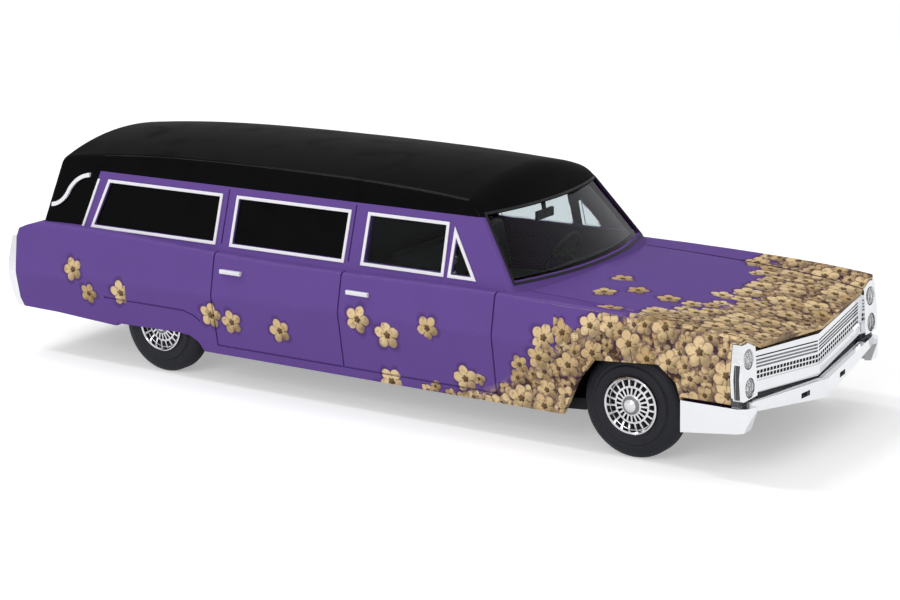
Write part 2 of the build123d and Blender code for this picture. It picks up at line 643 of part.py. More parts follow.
def rear_brightwork():
    """Plated rear unit: bumper with upright lamp bezels."""
    outline = [
        *[(x - FIT, z) for x, z in TAIL_END], (rear(-16.4), 10.2), (rear(-REAR_OVERHANG), 8.0),
        (rear(-16.7), 5.4), (rear(-16.2), TAIL_LOW_Z),
    ]
    inner = BODY_HALF - 2.95
    unit = side_prism(outline, -BODY_HALF, BODY_HALF) - block(rear(-20), rear(-12), -inner, inner, 6.0, 12)
    sides = extrude(body_section(BODY[-1]._replace(x=rear(-14)), 0.0, 0.5), 5, dir=(-1, 0, 0))
    low = block(rear(-20), rear(-14), -inner - 1.6, inner + 1.6, 3.5, 5.5)
    return (unit & (sides + low)) - both_sides(tail_lamp(rear(-20), 0.0))


def tail_lamps():
    """Two red lenses seated in the rear bezels, domed with them."""
    lens = tail_lamp(rear(-REAR_OVERHANG) + 0.06, FIT)
    outer = lens.edges().group_by(Axis.X)[0]
    return Compound(both_sides(fillet(outer, 0.1)))


def side_slab(inset, thick):
    """Leaning slab parallel to the left cabin side."""
    low = BELT_Z - 0.3
    high = ROOF_SPLIT_Z + 1.1
    return cross_prism([
        (side_y(low, inset), low), (side_y(high, inset), high), (side_y(high, inset + thick), high),
        (side_y(low, inset + thick), low),
    ], rear(-25), front(5))


def panes(outlines):
    """Left and right panes for a list of outlines."""
    slab = side_slab(PANE_SET, PANE)
    found = []
    for points in outlines:
        face = offset(fillet(make_face(Polyline(*points, close=True)).vertices(), WINDOW_ROUND), -FIT)
        found += both_sides(slab & extrude(Plane.XZ * face, BODY_HALF + 1, dir=(0, 1, 0)))
    return Compound(found)


def door_handles(lower):
    """Four pull handles proud of the doors."""
    keep_off = Pos(0, 0.02, 0) * lower
    y_out = BODY_HALF - 0.38 + HANDLE_STAND
    found = []
    for h in HANDLES:
        x_half = HANDLE_LENGTH / 2
        z_half = HANDLE_HEIGHT / 2
        grip = block(h.x - x_half, h.x + x_half, BELT_Y + 0.3, y_out, h.z - z_half, h.z + z_half)
        grip = fillet(grip.edges().group_by(Axis.Y)[-1], 0.1)
        found += both_sides(grip - keep_off)
    return Compound(found)


def landau_bars():
    """S-shaped bars on the closed rear quarters."""
    upper = ThreePointArc((rear(-8.5), 16.0), (rear(-9.9), 15.45), (rear(-10.6), 14.6))
    lower = ThreePointArc((rear(-10.6), 14.6), (rear(-11.1), 13.8), (rear(-12.3), 13.25))
    strip = extrude(Plane.XZ * trace([upper, lower], LANDAU_WIDTH), BODY_HALF, dir=(0, 1, 0))
    return Compound(both_sides(strip & side_slab(-0.22, 0.21)))


def mirror_piece():
    """Rear-view mirror on its stalk below the header."""
    x = SCREEN_X - 5.4
    plate = block(x, x + 0.25, -1.2, 1.2, 14.7, 15.4)
    stalk = side_prism([(x, 15.2), (x + 0.25, 15.2), (x - 0.05, 16.9), (x - 0.3, 16.9)], -0.15, 0.15)
    return plate + stalk


def make_parts():
    """Every node of the model by name."""
    body = body_loft()
    lower = body & body_outline() & (nose_outline() + both_sides(brow(BROW_X)))
    cabin = cabin_solid()
    hollow = cabin_volume(WALL)
    region = roof_region()
    holes = [*window_holes(), screen_hole(), tail_hole()]
    shell = lower + (cabin - region)
    shell -= [body_cavity(), hollow, *holes, *wheel_wells(), *seam_cutters()]
    parts = {
        "body_shell": shell,
        "roof": (cabin & region) - [hollow, *holes, Pos(0, 0, FIT) * lower],
        "windscreen": (screen_prism(PANE_SET) - screen_prism(PANE_SET + PANE)) & screen_hole(FIT),
        "front_door_glass": panes([FRONT_DOOR_WINDOW, VENT_WINDOW]),
        "rear_side_glass": panes([QUARTER_WINDOW, REAR_DOOR_WINDOW]),
        "rear_window": (tail_prism(PANE_SET) - tail_prism(PANE_SET + PANE)) & tail_hole(FIT),
        "cabin_tub": tub(),
        "steering_wheel": steering_wheel(),
        "mirror": mirror_piece(),
        "base_plate": base_plate(),
        "front_brightwork": front_brightwork(body),
        "headlamps": headlamps(),
        "rear_brightwork": rear_brightwork(),
        "tail_lamps": tail_lamps(),
        "door_handles": door_handles(lower),
        "landau_bars": landau_bars(),
    }
    ring = tyre()
    insert = wheel_insert()
    for end, x, track in (("front", FRONT_X, FRONT_TRACK), ("rear", REAR_X, REAR_TRACK)):
        parts[f"{end}_axle"] = axle(x, track)
        for name, side in (("left", 1), ("right", -1)):
            parts[f"{end}_{name}_tyre"] = on_axle(ring, x, side, track)
            parts[f"{end}_{name}_wheel"] = on_axle(insert, x, side, track)
    return parts


os.makedirs("parts", exist_ok=True)
for node, solid in make_parts().items():
    export_step(solid, f"parts/{node}.step")
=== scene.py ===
"""Looks of a small moulded hearse model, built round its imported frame."""
from __future__ import annotations

import json
import logging
import math
from collections.abc import Callable
from dataclasses import dataclass
from enum import Enum

import bmesh
import bpy
from mathutils import Euler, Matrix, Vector

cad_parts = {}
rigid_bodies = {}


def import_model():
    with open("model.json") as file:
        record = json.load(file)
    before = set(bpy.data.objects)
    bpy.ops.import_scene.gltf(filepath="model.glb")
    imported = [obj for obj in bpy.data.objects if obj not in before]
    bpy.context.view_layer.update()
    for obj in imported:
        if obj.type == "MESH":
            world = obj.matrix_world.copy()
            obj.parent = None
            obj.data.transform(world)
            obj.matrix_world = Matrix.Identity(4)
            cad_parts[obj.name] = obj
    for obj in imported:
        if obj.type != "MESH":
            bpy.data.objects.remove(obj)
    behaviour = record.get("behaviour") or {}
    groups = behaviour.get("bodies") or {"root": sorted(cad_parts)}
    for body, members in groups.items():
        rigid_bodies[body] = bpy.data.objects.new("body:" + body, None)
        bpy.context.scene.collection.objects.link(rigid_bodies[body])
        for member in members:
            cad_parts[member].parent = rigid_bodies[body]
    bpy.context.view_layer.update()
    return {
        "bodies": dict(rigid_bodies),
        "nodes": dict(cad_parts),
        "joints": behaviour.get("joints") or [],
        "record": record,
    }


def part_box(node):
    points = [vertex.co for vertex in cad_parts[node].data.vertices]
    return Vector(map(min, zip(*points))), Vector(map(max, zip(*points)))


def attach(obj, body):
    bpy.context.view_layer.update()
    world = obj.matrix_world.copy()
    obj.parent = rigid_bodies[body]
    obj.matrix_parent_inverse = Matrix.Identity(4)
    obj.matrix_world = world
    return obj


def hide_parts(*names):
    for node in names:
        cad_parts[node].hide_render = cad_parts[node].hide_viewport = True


LOG = logging.getLogger("hearse")
MM = 0.001
MERGE_GAP = 1e-4
Pair = tuple[float, float]
Triple = tuple[float, float, float]
Colour = Triple
Outline = tuple[Pair, ...]
Socket = bpy.types.NodeSocket


class Pick(Enum):
    """Kinds of mesh element that a tool works on."""

    VERTICES = "VERT"
    FACES = "FACE"


class Side(Enum):
    """Sides of the car, by the sign of Y."""

    LEFT = 1
    RIGHT = -1


class Graph:
    """Short hand for wiring one node tree."""

    def __init__(self, tree: bpy.types.NodeTree) -> None:
        """Hold the tree."""
        self.tree = tree

    def add(self, kind: str, inputs: dict | None = None, **settings: object) -> bpy.types.Node:
        """Add one node.

        Args:
            kind: Node type name.
            inputs: Values or sockets by input name or number.
            settings: Properties of the node.

        Returns:
            The new node.
        """
        node = self.tree.nodes.new(kind)
        for name, value in settings.items():
            setattr(node, name, value)
        self.feed(node, inputs or {})
        return node

    def feed(self, node: bpy.types.Node, inputs: dict) -> None:
        """Link or set inputs of a node.

        Args:
            node: Node to feed.
            inputs: Values or sockets by input name or number.
        """
        for key, value in inputs.items():
            if isinstance(value, bpy.types.NodeSocket):
                self.tree.links.new(value, node.inputs[key])
            else:
                node.inputs[key].default_value = value

    def math(self, operation: str, *values: object, clamp: bool = False) -> Socket:
        """Add a Math node.

        Args:
            operation: Blender's name of the operation.
            values: Numbers or sockets.
            clamp: Keep the result between 0 and 1.

        Returns:
            The result socket.
        """
        inputs = dict(enumerate(values))
        return self.add("ShaderNodeMath", inputs, operation=operation, use_clamp=clamp).outputs[0]

    def vector(self, operation: str, *values: object) -> Socket:
        """Add a Vector Math node and return its vector."""
        return self.add("ShaderNodeVectorMath", dict(enumerate(values)), operation=operation).outputs[0]

    def span(self, value: object, low: object, high: object) -> Socket:
        """Smooth step from 0 at low to 1 at high.

        Args:
            value: Value to map.
            low: Value that gives 0.
            high: Value that gives 1.

        Returns:
            The mapped socket.
        """
        inputs = {"Value": value, "From Min": low, "From Max": high}
        return self.add("ShaderNodeMapRange", inputs, interpolation_type="SMOOTHSTEP").outputs[0]

    def overlap(self, *masks: object) -> Socket:
        """Multiply masks.

        Args:
            masks: Masks or plain shares.

        Returns:
            The mask where all of them hold.
        """
        share = masks[0]
        for mask in masks[1:]:
            share = self.math("MULTIPLY", share, mask)
        return share

    def window(self, value: object, low: float, high: float, soft: float) -> Socket:
        """Mask that is 1 between two values and fades outside them.

        Args:
            value: Value to test.
            low: Lower limit.
            high: Upper limit.
            soft: Width of the fade.

        Returns:
            The mask socket.
        """
        return self.overlap(self.span(value, low - soft, low), self.span(value, high + soft, high))

    def blend(self, factor: object, low: object, high: object) -> Socket:
        """Mix two colours.

        Args:
            factor: Share of the second colour.
            low: Colour at 0.
            high: Colour at 1.

        Returns:
            The colour socket.
        """
        inputs = {0: factor, 6: self.rgba(low), 7: self.rgba(high)}
        return self.add("ShaderNodeMix", inputs, data_type="RGBA").outputs[2]

    def mix(self, factor: object, low: object, high: object) -> Socket:
        """Mix two numbers by a factor."""
        return self.add("ShaderNodeMix", {0: factor, 2: low, 3: high}).outputs[0]

    @staticmethod
    def rgba(value: object) -> object:
        """Give a plain colour its alpha."""
        return (*value, 1.0) if isinstance(value, tuple) and len(value) == 3 else value

    def noise(self, vector: object, scale: object, detail: float = 3.0, warp: float = 0.0) -> Socket:
        """Noise value at a scale per millimetre."""
        inputs = {"Vector": vector, "Scale": scale, "Detail": detail, "Distortion": warp}
        return self.add("ShaderNodeTexNoise", inputs).outputs[0]

    def millimetres(self) -> Socket:
        """Object coordinates in millimetres."""
        place = self.add("ShaderNodeTexCoord").outputs["Object"]
        return self.vector("MULTIPLY", place, (1 / MM, 1 / MM, 1 / MM))

    def axes(self, vector: Socket) -> tuple[Socket, Socket, Socket]:
        """X, Y and Z of a vector."""
        outputs = self.add("ShaderNodeSeparateXYZ", {0: vector}).outputs
        return outputs[0], outputs[1], outputs[2]

    def join(self, x: object, y: object, z: object = 0.0) -> Socket:
        """Vector of three values."""
        return self.add("ShaderNodeCombineXYZ", {0: x, 1: y, 2: z}).outputs[0]

    def group(self, tree: bpy.types.NodeTree, inputs: dict) -> bpy.types.NodeOutputs:
        """Place a node group with its own values and return its outputs."""
        return self.add("ShaderNodeGroup", inputs, node_tree=tree).outputs

    def bump(self, height: Socket, depth: float) -> Socket:
        """Normal of a bump whose height of 1 is a depth in metres."""
        return self.add("ShaderNodeBump", {"Height": height, "Distance": depth, "Strength": 1.0}).outputs[0]


class Effects:
    """Node groups that several finishes share."""

    def __init__(self) -> None:
        """Build each group once."""
        self.grain = self.make_grain()
        self.smudge = self.make_smudge()
        self.blossom = self.make_blossom()
        self.wheel_place = self.make_wheel_place()

    @staticmethod
    def open(
        name: str, inputs: dict[str, str], outputs: tuple[str, ...],
    ) -> tuple[Graph, dict[str, Socket], bpy.types.Node]:
        """Start a node group.

        Args:
            name: Name of the group.
            inputs: Socket kinds by input name, Float or Vector.
            outputs: Names of the value outputs.

        Returns:
            The graph, its input sockets by name and its output node.
        """
        tree = bpy.data.node_groups.new(name, "ShaderNodeTree")
        for key, kind in inputs.items():
            tree.interface.new_socket(key, in_out="INPUT", socket_type=f"NodeSocket{kind}")
        for key in outputs:
            tree.interface.new_socket(key, in_out="OUTPUT", socket_type="NodeSocketFloat")
        graph = Graph(tree)
        given = graph.add("NodeGroupInput").outputs
        return graph, {key: given[key] for key in inputs}, graph.add("NodeGroupOutput")

    def make_grain(self) -> bpy.types.NodeTree:
        """Fine moulded grain with a slow change of tone.

        Returns:
            The group.
        """
        fine_share, slow_scale = 0.4, 0.35
        inputs = {"Place": "Vector", "Fine": "Float"}
        graph, given, out = self.open("moulded_grain", inputs, ("Tone", "Height"))
        fine = graph.noise(given["Place"], given["Fine"], detail=4.0)
        slow = graph.noise(given["Place"], slow_scale)
        graph.feed(out, {"Tone": graph.mix(fine_share, slow, fine), "Height": fine})
        return graph.tree

    def make_smudge(self) -> bpy.types.NodeTree:
        """Patches where handling has dulled a glossy surface.

        Returns:
            The group.
        """
        inputs = {"Place": "Vector", "Spread": "Float"}
        graph, given, out = self.open("handling_smudge", inputs, ("Mask",))
        patch_edge = (0.45, 0.75)
        patch = graph.noise(given["Place"], given["Spread"], detail=5.0, warp=0.8)
        graph.feed(out, {"Mask": graph.span(patch, *patch_edge)})
        return graph.tree

    def make_blossom(self) -> bpy.types.NodeTree:
        """One layer of scattered five-petal blossoms, with the middle and the lot of each.

        Returns:
            The group.
        """
        petals, waist, smallest, growth, disorder = 5, 0.66, 0.8, 0.3, 0.75
        eye_edge, eye_dark = (0.34, 0.22), 0.85
        vein_edge, vein_start, vein_dark = (0.32, 0.0), (0.2, 0.5), 0.55
        far_edge, far_dark = (-0.2, 1.1), 0.6
        rim_edge, halo_edge = (1.0, 0.9), (1.5, 0.95)
        outputs = ("Mask", "Halo", "Shade", "Tint", "Lot", "Middle X", "Middle Y")
        graph, given, out = self.open("blossom_layer", {"Place": "Vector", "Bloom": "Float"}, outputs)
        cells = graph.add("ShaderNodeTexVoronoi", {
            "Vector": given["Place"], "Scale": 1.0, "Randomness": disorder,
        }, voronoi_dimensions="2D").outputs
        chance = graph.add("ShaderNodeSeparateColor", {0: cells["Color"]}).outputs
        x, y, _ = graph.axes(graph.vector("SUBTRACT", given["Place"], cells["Position"]))
        start = graph.math("MULTIPLY", chance[1], math.tau)
        turn = graph.math("MULTIPLY_ADD", graph.math("ARCTAN2", y, x), petals / 2, start)
        petal = graph.math("ABSOLUTE", graph.math("COSINE", turn))
        reach = graph.math("MULTIPLY_ADD", chance[0], growth, smallest)
        reach = graph.math("MULTIPLY", given["Bloom"], reach)
        rim = graph.math("MULTIPLY", reach, graph.math("MULTIPLY_ADD", petal, 1 - waist, waist))
        depth = graph.math("DIVIDE", cells["Distance"], rim)
        eye = graph.span(depth, *eye_edge)
        vein = graph.overlap(graph.span(petal, *vein_edge), graph.span(depth, *vein_start))
        away = graph.math("DIVIDE", graph.math("SUBTRACT", x, y), reach)
        dark = graph.overlap(graph.span(away, *far_edge), far_dark)
        dark = graph.math("MULTIPLY_ADD", vein, vein_dark, dark)
        dark = graph.math("MULTIPLY_ADD", eye, eye_dark, dark, clamp=True)
        mask, halo = graph.span(depth, *rim_edge), graph.span(depth, *halo_edge)
        found = (mask, halo, dark, chance[0], chance[2], *graph.axes(cells["Position"])[:2])
        graph.feed(out, dict(zip(outputs, found)))
        return graph.tree

    def make_wheel_place(self) -> bpy.types.NodeTree:
        """Radius and outward depth of a point on a wheel.

        Returns:
            The group.
        """
        inputs = {"Place": "Vector", "Axle X": "Float", "Axle Z": "Float", "Half Track": "Float"}
        graph, given, out = self.open("wheel_place", inputs, ("Radius", "Depth"))
        x, y, z = graph.axes(given["Place"])
        across = graph.math("SUBTRACT", x, given["Axle X"])
        up = graph.math("SUBTRACT", z, given["Axle Z"])
        square = graph.math("MULTIPLY_ADD", across, across, graph.math("MULTIPLY", up, up))
        depth = graph.math("SUBTRACT", graph.math("ABSOLUTE", y), given["Half Track"])
        graph.feed(out, {"Radius": graph.math("SQRT", square), "Depth": depth})
        return graph.tree


@dataclass(frozen=True)
class Finish:
    """Base of every finish: one Principled shader with wired detail.

    Args:
        name: Material name.
        colour: Linear base colour.
        roughness: Roughness of the clean surface.
    """

    name: str
    colour: Colour
    roughness: float = 0.3

    def start(self) -> tuple[bpy.types.Material, Graph, bpy.types.Node]:
        """Make the material.

        Returns:
            The material, its graph and its shader.
        """
        material = bpy.data.materials.new(self.name)
        material.use_nodes = True
        graph = Graph(material.node_tree)
        shader = graph.tree.nodes["Principled BSDF"]
        graph.feed(shader, {"Base Color": (*self.colour, 1.0), "Roughness": self.roughness})
        return material, graph, shader

    def toned(self, factor: float) -> Colour:
        """The finish's colour, made lighter or darker."""
        return tuple(min(1.0, c * factor) for c in self.colour)


@dataclass(frozen=True)
class Moulding(Finish):
    """Moulded plastic with fine grain and handling marks.

    Args:
        specular: Specular level.
        grain: Depth of the grain in metres.
        fine: Grain cells per millimetre.
        lift: Factor of the grain's light tone.
        patches: Handled patches per millimetre.
        dulling: Roughness that handling adds.
        coat: Clear coat share.
        coat_range: Factors of the coat where it is clean and where it is handled.
        coat_roughness: Roughness of the coat.
    """

    specular: float = 0.5
    grain: float = 4e-6
    fine: float = 6.0
    lift: float = 1.5
    patches: float = 0.25
    dulling: float = 0.1
    coat: float = 0.0
    coat_range: Pair = (1.2, 0.8)
    coat_roughness: float = 0.08

    def build(self, effects: Effects) -> bpy.types.Material:
        """Make the material.

        Args:
            effects: Shared node groups.

        Returns:
            The material.
        """
        material, graph, shader = self.start()
        place = graph.millimetres()
        grain = graph.group(effects.grain, {"Place": place, "Fine": self.fine})
        handled = graph.group(effects.smudge, {"Place": place, "Spread": self.patches})["Mask"]
        clean, dull = (self.coat * factor for factor in self.coat_range)
        graph.feed(shader, {
            "Base Color": graph.blend(grain["Tone"], self.colour, self.toned(self.lift)),
            "Roughness": graph.mix(handled, self.roughness, self.roughness + self.dulling),
            "Specular IOR Level": self.specular,
            "Coat Weight": graph.mix(handled, clean, dull),
            "Coat Roughness": self.coat_roughness,
            "Normal": graph.bump(grain["Height"], self.grain),
        })
        return material


@dataclass(frozen=True)
class PrintLayer:
    """One layer of the print.

    Args:
        cell: Spacing of the blossoms in millimetres.
        bloom: Radius of a blossom as a share of the spacing.
        start: Density at which the layer begins.
        sparse: Share of lone blossoms outside the dense print.
    """

    cell: float
    bloom: float
    start: float
    sparse: float = 0.0


@dataclass(frozen=True)
class BodyPoint:
    """Sockets that tell where a point of the body lies.

    Args:
        x: X in millimetres.
        rise: Z on the sides, Y on upward faces, in millimetres.
        top: Mask of upward faces.
    """

    x: Socket
    rise: Socket
    top: Socket


@dataclass(frozen=True)
class PrintSpread:
    """Where the print lies, in millimetres.

    Args:
        side_x: X where the print on the side begins.
        side_run: Length over which it grows dense.
        edge_z: Mean height of its upper edge.
        edge_run: Height over which it grows dense.
        wave: Radians per millimetre of that edge's wave, and its height.
        sill_z: Heights over which the print on the sill grows.
        sill_x: X over which it grows.
        sill_share: Its full density.
        hood_x: X where the print on the bonnet is half dense on the centre line.
        hood_bow: How far that place comes back per millimetre of Y.
        hood_run: Length over which it grows dense.
        lone_z: Lowest and highest Z of lone blossoms on the side.
        lone_x: First X of lone blossoms on the bonnet.
        soft: Width of the edge of their room.
    """

    side_x: float = 8.0
    side_run: float = 12.0
    edge_z: float = 6.4
    edge_run: float = 6.0
    wave: Pair = (0.33, 0.8)
    sill_z: Pair = (5.0, 3.6)
    sill_x: Pair = (0.0, 8.0)
    sill_share: float = 0.5
    hood_x: float = 29.0
    hood_bow: float = 0.35
    hood_run: float = 6.0
    lone_z: Pair = (5.2, 9.1)
    lone_x: float = 20.0
    soft: float = 0.1

    def density(self, graph: Graph, point: BodyPoint) -> Socket:
        """Density of the print at a place.

        Args:
            graph: Graph of the material.
            point: Place on the body.

        Returns:
            The density socket.
        """
        pace, height = self.wave
        wave = graph.math("SINE", graph.math("MULTIPLY", point.x, pace))
        edge = graph.math("MULTIPLY_ADD", wave, height, self.edge_z)
        below = graph.math("DIVIDE", graph.math("SUBTRACT", edge, point.rise), self.edge_run)
        ahead = graph.math("SUBTRACT", point.x, self.side_x)
        side = graph.math("MULTIPLY_ADD", ahead, 1 / self.side_run, below)
        sill = (graph.span(point.rise, *self.sill_z), graph.span(point.x, *self.sill_x))
        side = graph.math("MAXIMUM", side, graph.overlap(*sill, self.sill_share))
        hood = graph.math("SUBTRACT", point.x, self.hood_x)
        hood = graph.math("MULTIPLY_ADD", graph.math("ABSOLUTE", point.rise), self.hood_bow, hood)
        half = 0.5
        hood = graph.math("MULTIPLY_ADD", hood, 1 / self.hood_run, half)
        return graph.mix(point.top, side, hood)

    def room(self, graph: Graph, point: BodyPoint) -> Socket:
        """Mask of the places that lone blossoms may take.

        Args:
            graph: Graph of the material.
            point: Place on the body.

        Returns:
            The mask socket.
        """
        side = graph.window(point.rise, *self.lone_z, self.soft)
        return graph.mix(point.top, side, graph.span(point.x, self.lone_x, self.lone_x + self.soft))


@dataclass(frozen=True)
class PrintedBody(Finish):
    """Purple moulding with a tan blossom print that thickens towards the nose.

    Args:
        pale: Light print colour.
        tan: Middle print colour.
        brown: Dark print colour.
        shadow: Edge of the print on the purple, and the shaded inside of the moulding.
        layers: Layers of blossoms, the lowest first.
        spread: Where the print lies.
        shift: Shift from one layer to the next, in cells.
        full: Densities at which a layer is complete and the ground begins to fill.
        halo: Strength of the shadow round a blossom.
        mottle: Patches of the ground per millimetre.
        mottle_edge: Noise values between its dark and its light patches.
        specks: Dark specks of the print per millimetre.
        speck_edge: Noise values between print and speck.
        speck_share: Strength of the specks.
        upward: Z of the normal between side and upward faces.
        outward: Outward share of the normal between inner and outer faces.
        fine: Grain cells per millimetre.
        grain: Depth of the grain in metres.
        lift: Factor of the grain's light tone.
        ink_height: Height of the print, in depths of the grain.
        dulling: Roughness that the print adds.
        coat: Clear coat share.
        coat_roughness: Roughness of the coat.
    """

    pale: Colour = (0.84, 0.63, 0.36)
    tan: Colour = (0.54, 0.37, 0.18)
    brown: Colour = (0.075, 0.042, 0.018)
    shadow: Colour = (0.05, 0.02, 0.07)
    layers: tuple[PrintLayer, ...] = (
        PrintLayer(1.3, 0.54, 0.45), PrintLayer(1.75, 0.52, 0.3), PrintLayer(2.5, 0.45, 0.12, 0.16),
    )
    spread: PrintSpread = PrintSpread()
    shift: float = 7.3
    full: Pair = (0.95, 0.72)
    halo: float = 0.5
    mottle: float = 1.6
    mottle_edge: Pair = (0.4, 0.6)
    specks: float = 2.4
    speck_edge: Pair = (0.52, 0.64)
    speck_share: float = 0.4
    upward: Pair = (0.52, 0.56)
    outward: Pair = (0.0, 0.1)
    fine: float = 5.0
    grain: float = 4e-6
    lift: float = 1.18
    ink_height: float = 2.0
    dulling: float = 0.16
    coat: float = 0.065
    coat_roughness: float = 0.1

    def build(self, effects: Effects) -> bpy.types.Material:
        """Make the material.

        Args:
            effects: Shared node groups.

        Returns:
            The material.
        """
        material, graph, shader = self.start()
        place = graph.millimetres()
        point, outside = self.locate(graph, place)
        grain = graph.group(effects.grain, {"Place": place, "Fine": self.fine})
        colour = graph.blend(grain["Tone"], self.colour, self.toned(self.lift))
        colour = graph.blend(outside, self.shadow, colour)
        inked = graph.span(self.spread.density(graph, point), self.full[1], self.full[0])
        inked = graph.overlap(inked, outside)
        mottle = graph.span(graph.noise(place, self.mottle), *self.mottle_edge)
        colour = graph.blend(inked, colour, graph.blend(mottle, self.brown, self.tan))
        for number, layer in enumerate(self.layers):
            spot, kept = self.scatter(graph, effects, layer, self.shift * (number + 1), point)
            kept = graph.overlap(kept, outside)
            colour = graph.blend(graph.overlap(spot["Halo"], kept, self.halo), colour, self.shadow)
            petal = graph.blend(spot["Tint"], self.tan, self.pale)
            petal = graph.blend(spot["Shade"], petal, self.brown)
            shown = graph.overlap(spot["Mask"], kept)
            colour = graph.blend(shown, colour, petal)
            inked = graph.math("MAXIMUM", inked, shown)
        speck = graph.span(graph.noise(place, self.specks, detail=6.0), *self.speck_edge)
        colour = graph.blend(graph.overlap(speck, inked, self.speck_share), colour, self.brown)
        height = graph.math("MULTIPLY_ADD", inked, self.ink_height, grain["Height"])
        graph.feed(shader, {
            "Base Color": colour,
            "Roughness": graph.mix(inked, self.roughness, self.roughness + self.dulling),
            "Specular IOR Level": 0.0,
            "Coat Weight": self.coat,
            "Coat Roughness": self.coat_roughness,
            "Normal": graph.bump(height, self.grain),
        })
        return material

    def locate(self, graph: Graph, place: Socket) -> tuple[BodyPoint, Socket]:
        """Sort the faces of the moulding by their normals.

        Args:
            graph: Graph of the material.
            place: Place in millimetres.

        Returns:
            The place on the body and the mask of outer faces.
        """
        x, y, z = graph.axes(place)
        ahead, aside, upright = graph.axes(graph.add("ShaderNodeNewGeometry").outputs["Normal"])
        top = graph.span(upright, *self.upward)
        facing = graph.math("ADD", graph.math("MAXIMUM", upright, 0.0), graph.math("ABSOLUTE", ahead))
        facing = graph.math("MULTIPLY_ADD", aside, graph.math("SIGN", y), facing)
        return BodyPoint(x, graph.mix(top, z, y), top), graph.span(facing, *self.outward)

    def scatter(
        self, graph: Graph, effects: Effects, layer: PrintLayer, shift: float, point: BodyPoint,
    ) -> tuple[bpy.types.NodeOutputs, Socket]:
        """Place one layer; a blossom shows whole or not at all.

        Args:
            graph: Graph of the material.
            effects: Shared node groups.
            layer: Layer to place.
            shift: Its shift in cells.
            point: Place on the body.

        Returns:
            The outputs of the layer and the mask of the blossoms that show.
        """
        cells = (graph.math("MULTIPLY_ADD", value, 1 / layer.cell, shift) for value in (point.x, point.rise))
        found = graph.group(effects.blossom, {"Place": graph.join(*cells), "Bloom": layer.bloom})
        x, rise = (
            graph.math("MULTIPLY", graph.math("SUBTRACT", found[key], shift), layer.cell)
            for key in ("Middle X", "Middle Y")
        )
        middle = BodyPoint(x, rise, point.top)
        share = graph.span(self.spread.density(graph, middle), layer.start, self.full[0])
        if layer.sparse:
            lone = graph.overlap(self.spread.room(graph, middle), layer.sparse)
            share = graph.math("MAXIMUM", share, lone)
        return found, graph.math("LESS_THAN", found["Lot"], share)


@dataclass(frozen=True)
class Plating(Finish):
    """Bright plating with a faint haze, and painted shade in the recesses.

    Args:
        dark: Colour of the painted shade in the recesses.
        dark_roughness: Its roughness.
        haze: Roughness that the haze adds.
        patches: Hazy patches per millimetre.
        fine: Grain cells per millimetre.
        grain: Depth of the grain in metres.
        dull: Factor of the grain's dark tone.
    """

    dark: Colour = (0.07, 0.07, 0.076)
    dark_roughness: float = 0.6
    haze: float = 0.1
    patches: float = 0.6
    fine: float = 2.5
    grain: float = 3e-6
    dull: float = 0.9

    def recess_shade(self, graph: Graph, effects: Effects, place: Socket) -> Socket | None:
        """Mask of the painted shade in the recesses, none on plain plating."""
        return None

    def build(self, effects: Effects) -> bpy.types.Material:
        """Make the material.

        Args:
            effects: Shared node groups.

        Returns:
            The material.
        """
        material, graph, shader = self.start()
        place = graph.millimetres()
        hazy = graph.group(effects.smudge, {"Place": place, "Spread": self.patches})["Mask"]
        grain = graph.group(effects.grain, {"Place": place, "Fine": self.fine})
        rough = graph.mix(hazy, self.roughness, self.roughness + self.haze)
        colour = graph.blend(grain["Tone"], self.colour, self.toned(self.dull))
        metallic = 1.0
        # Painted shade: the recesses take the dark colour in place of plating.
        mask = self.recess_shade(graph, effects, place)
        if mask:
            colour = graph.blend(mask, colour, self.dark)
            rough = graph.mix(mask, rough, self.dark_roughness)
            metallic = graph.math("SUBTRACT", 1.0, mask)
        normal = graph.bump(grain["Height"], self.grain)
        graph.feed(shader, {"Base Color": colour, "Roughness": rough, "Metallic": metallic, "Normal": normal})
        return material


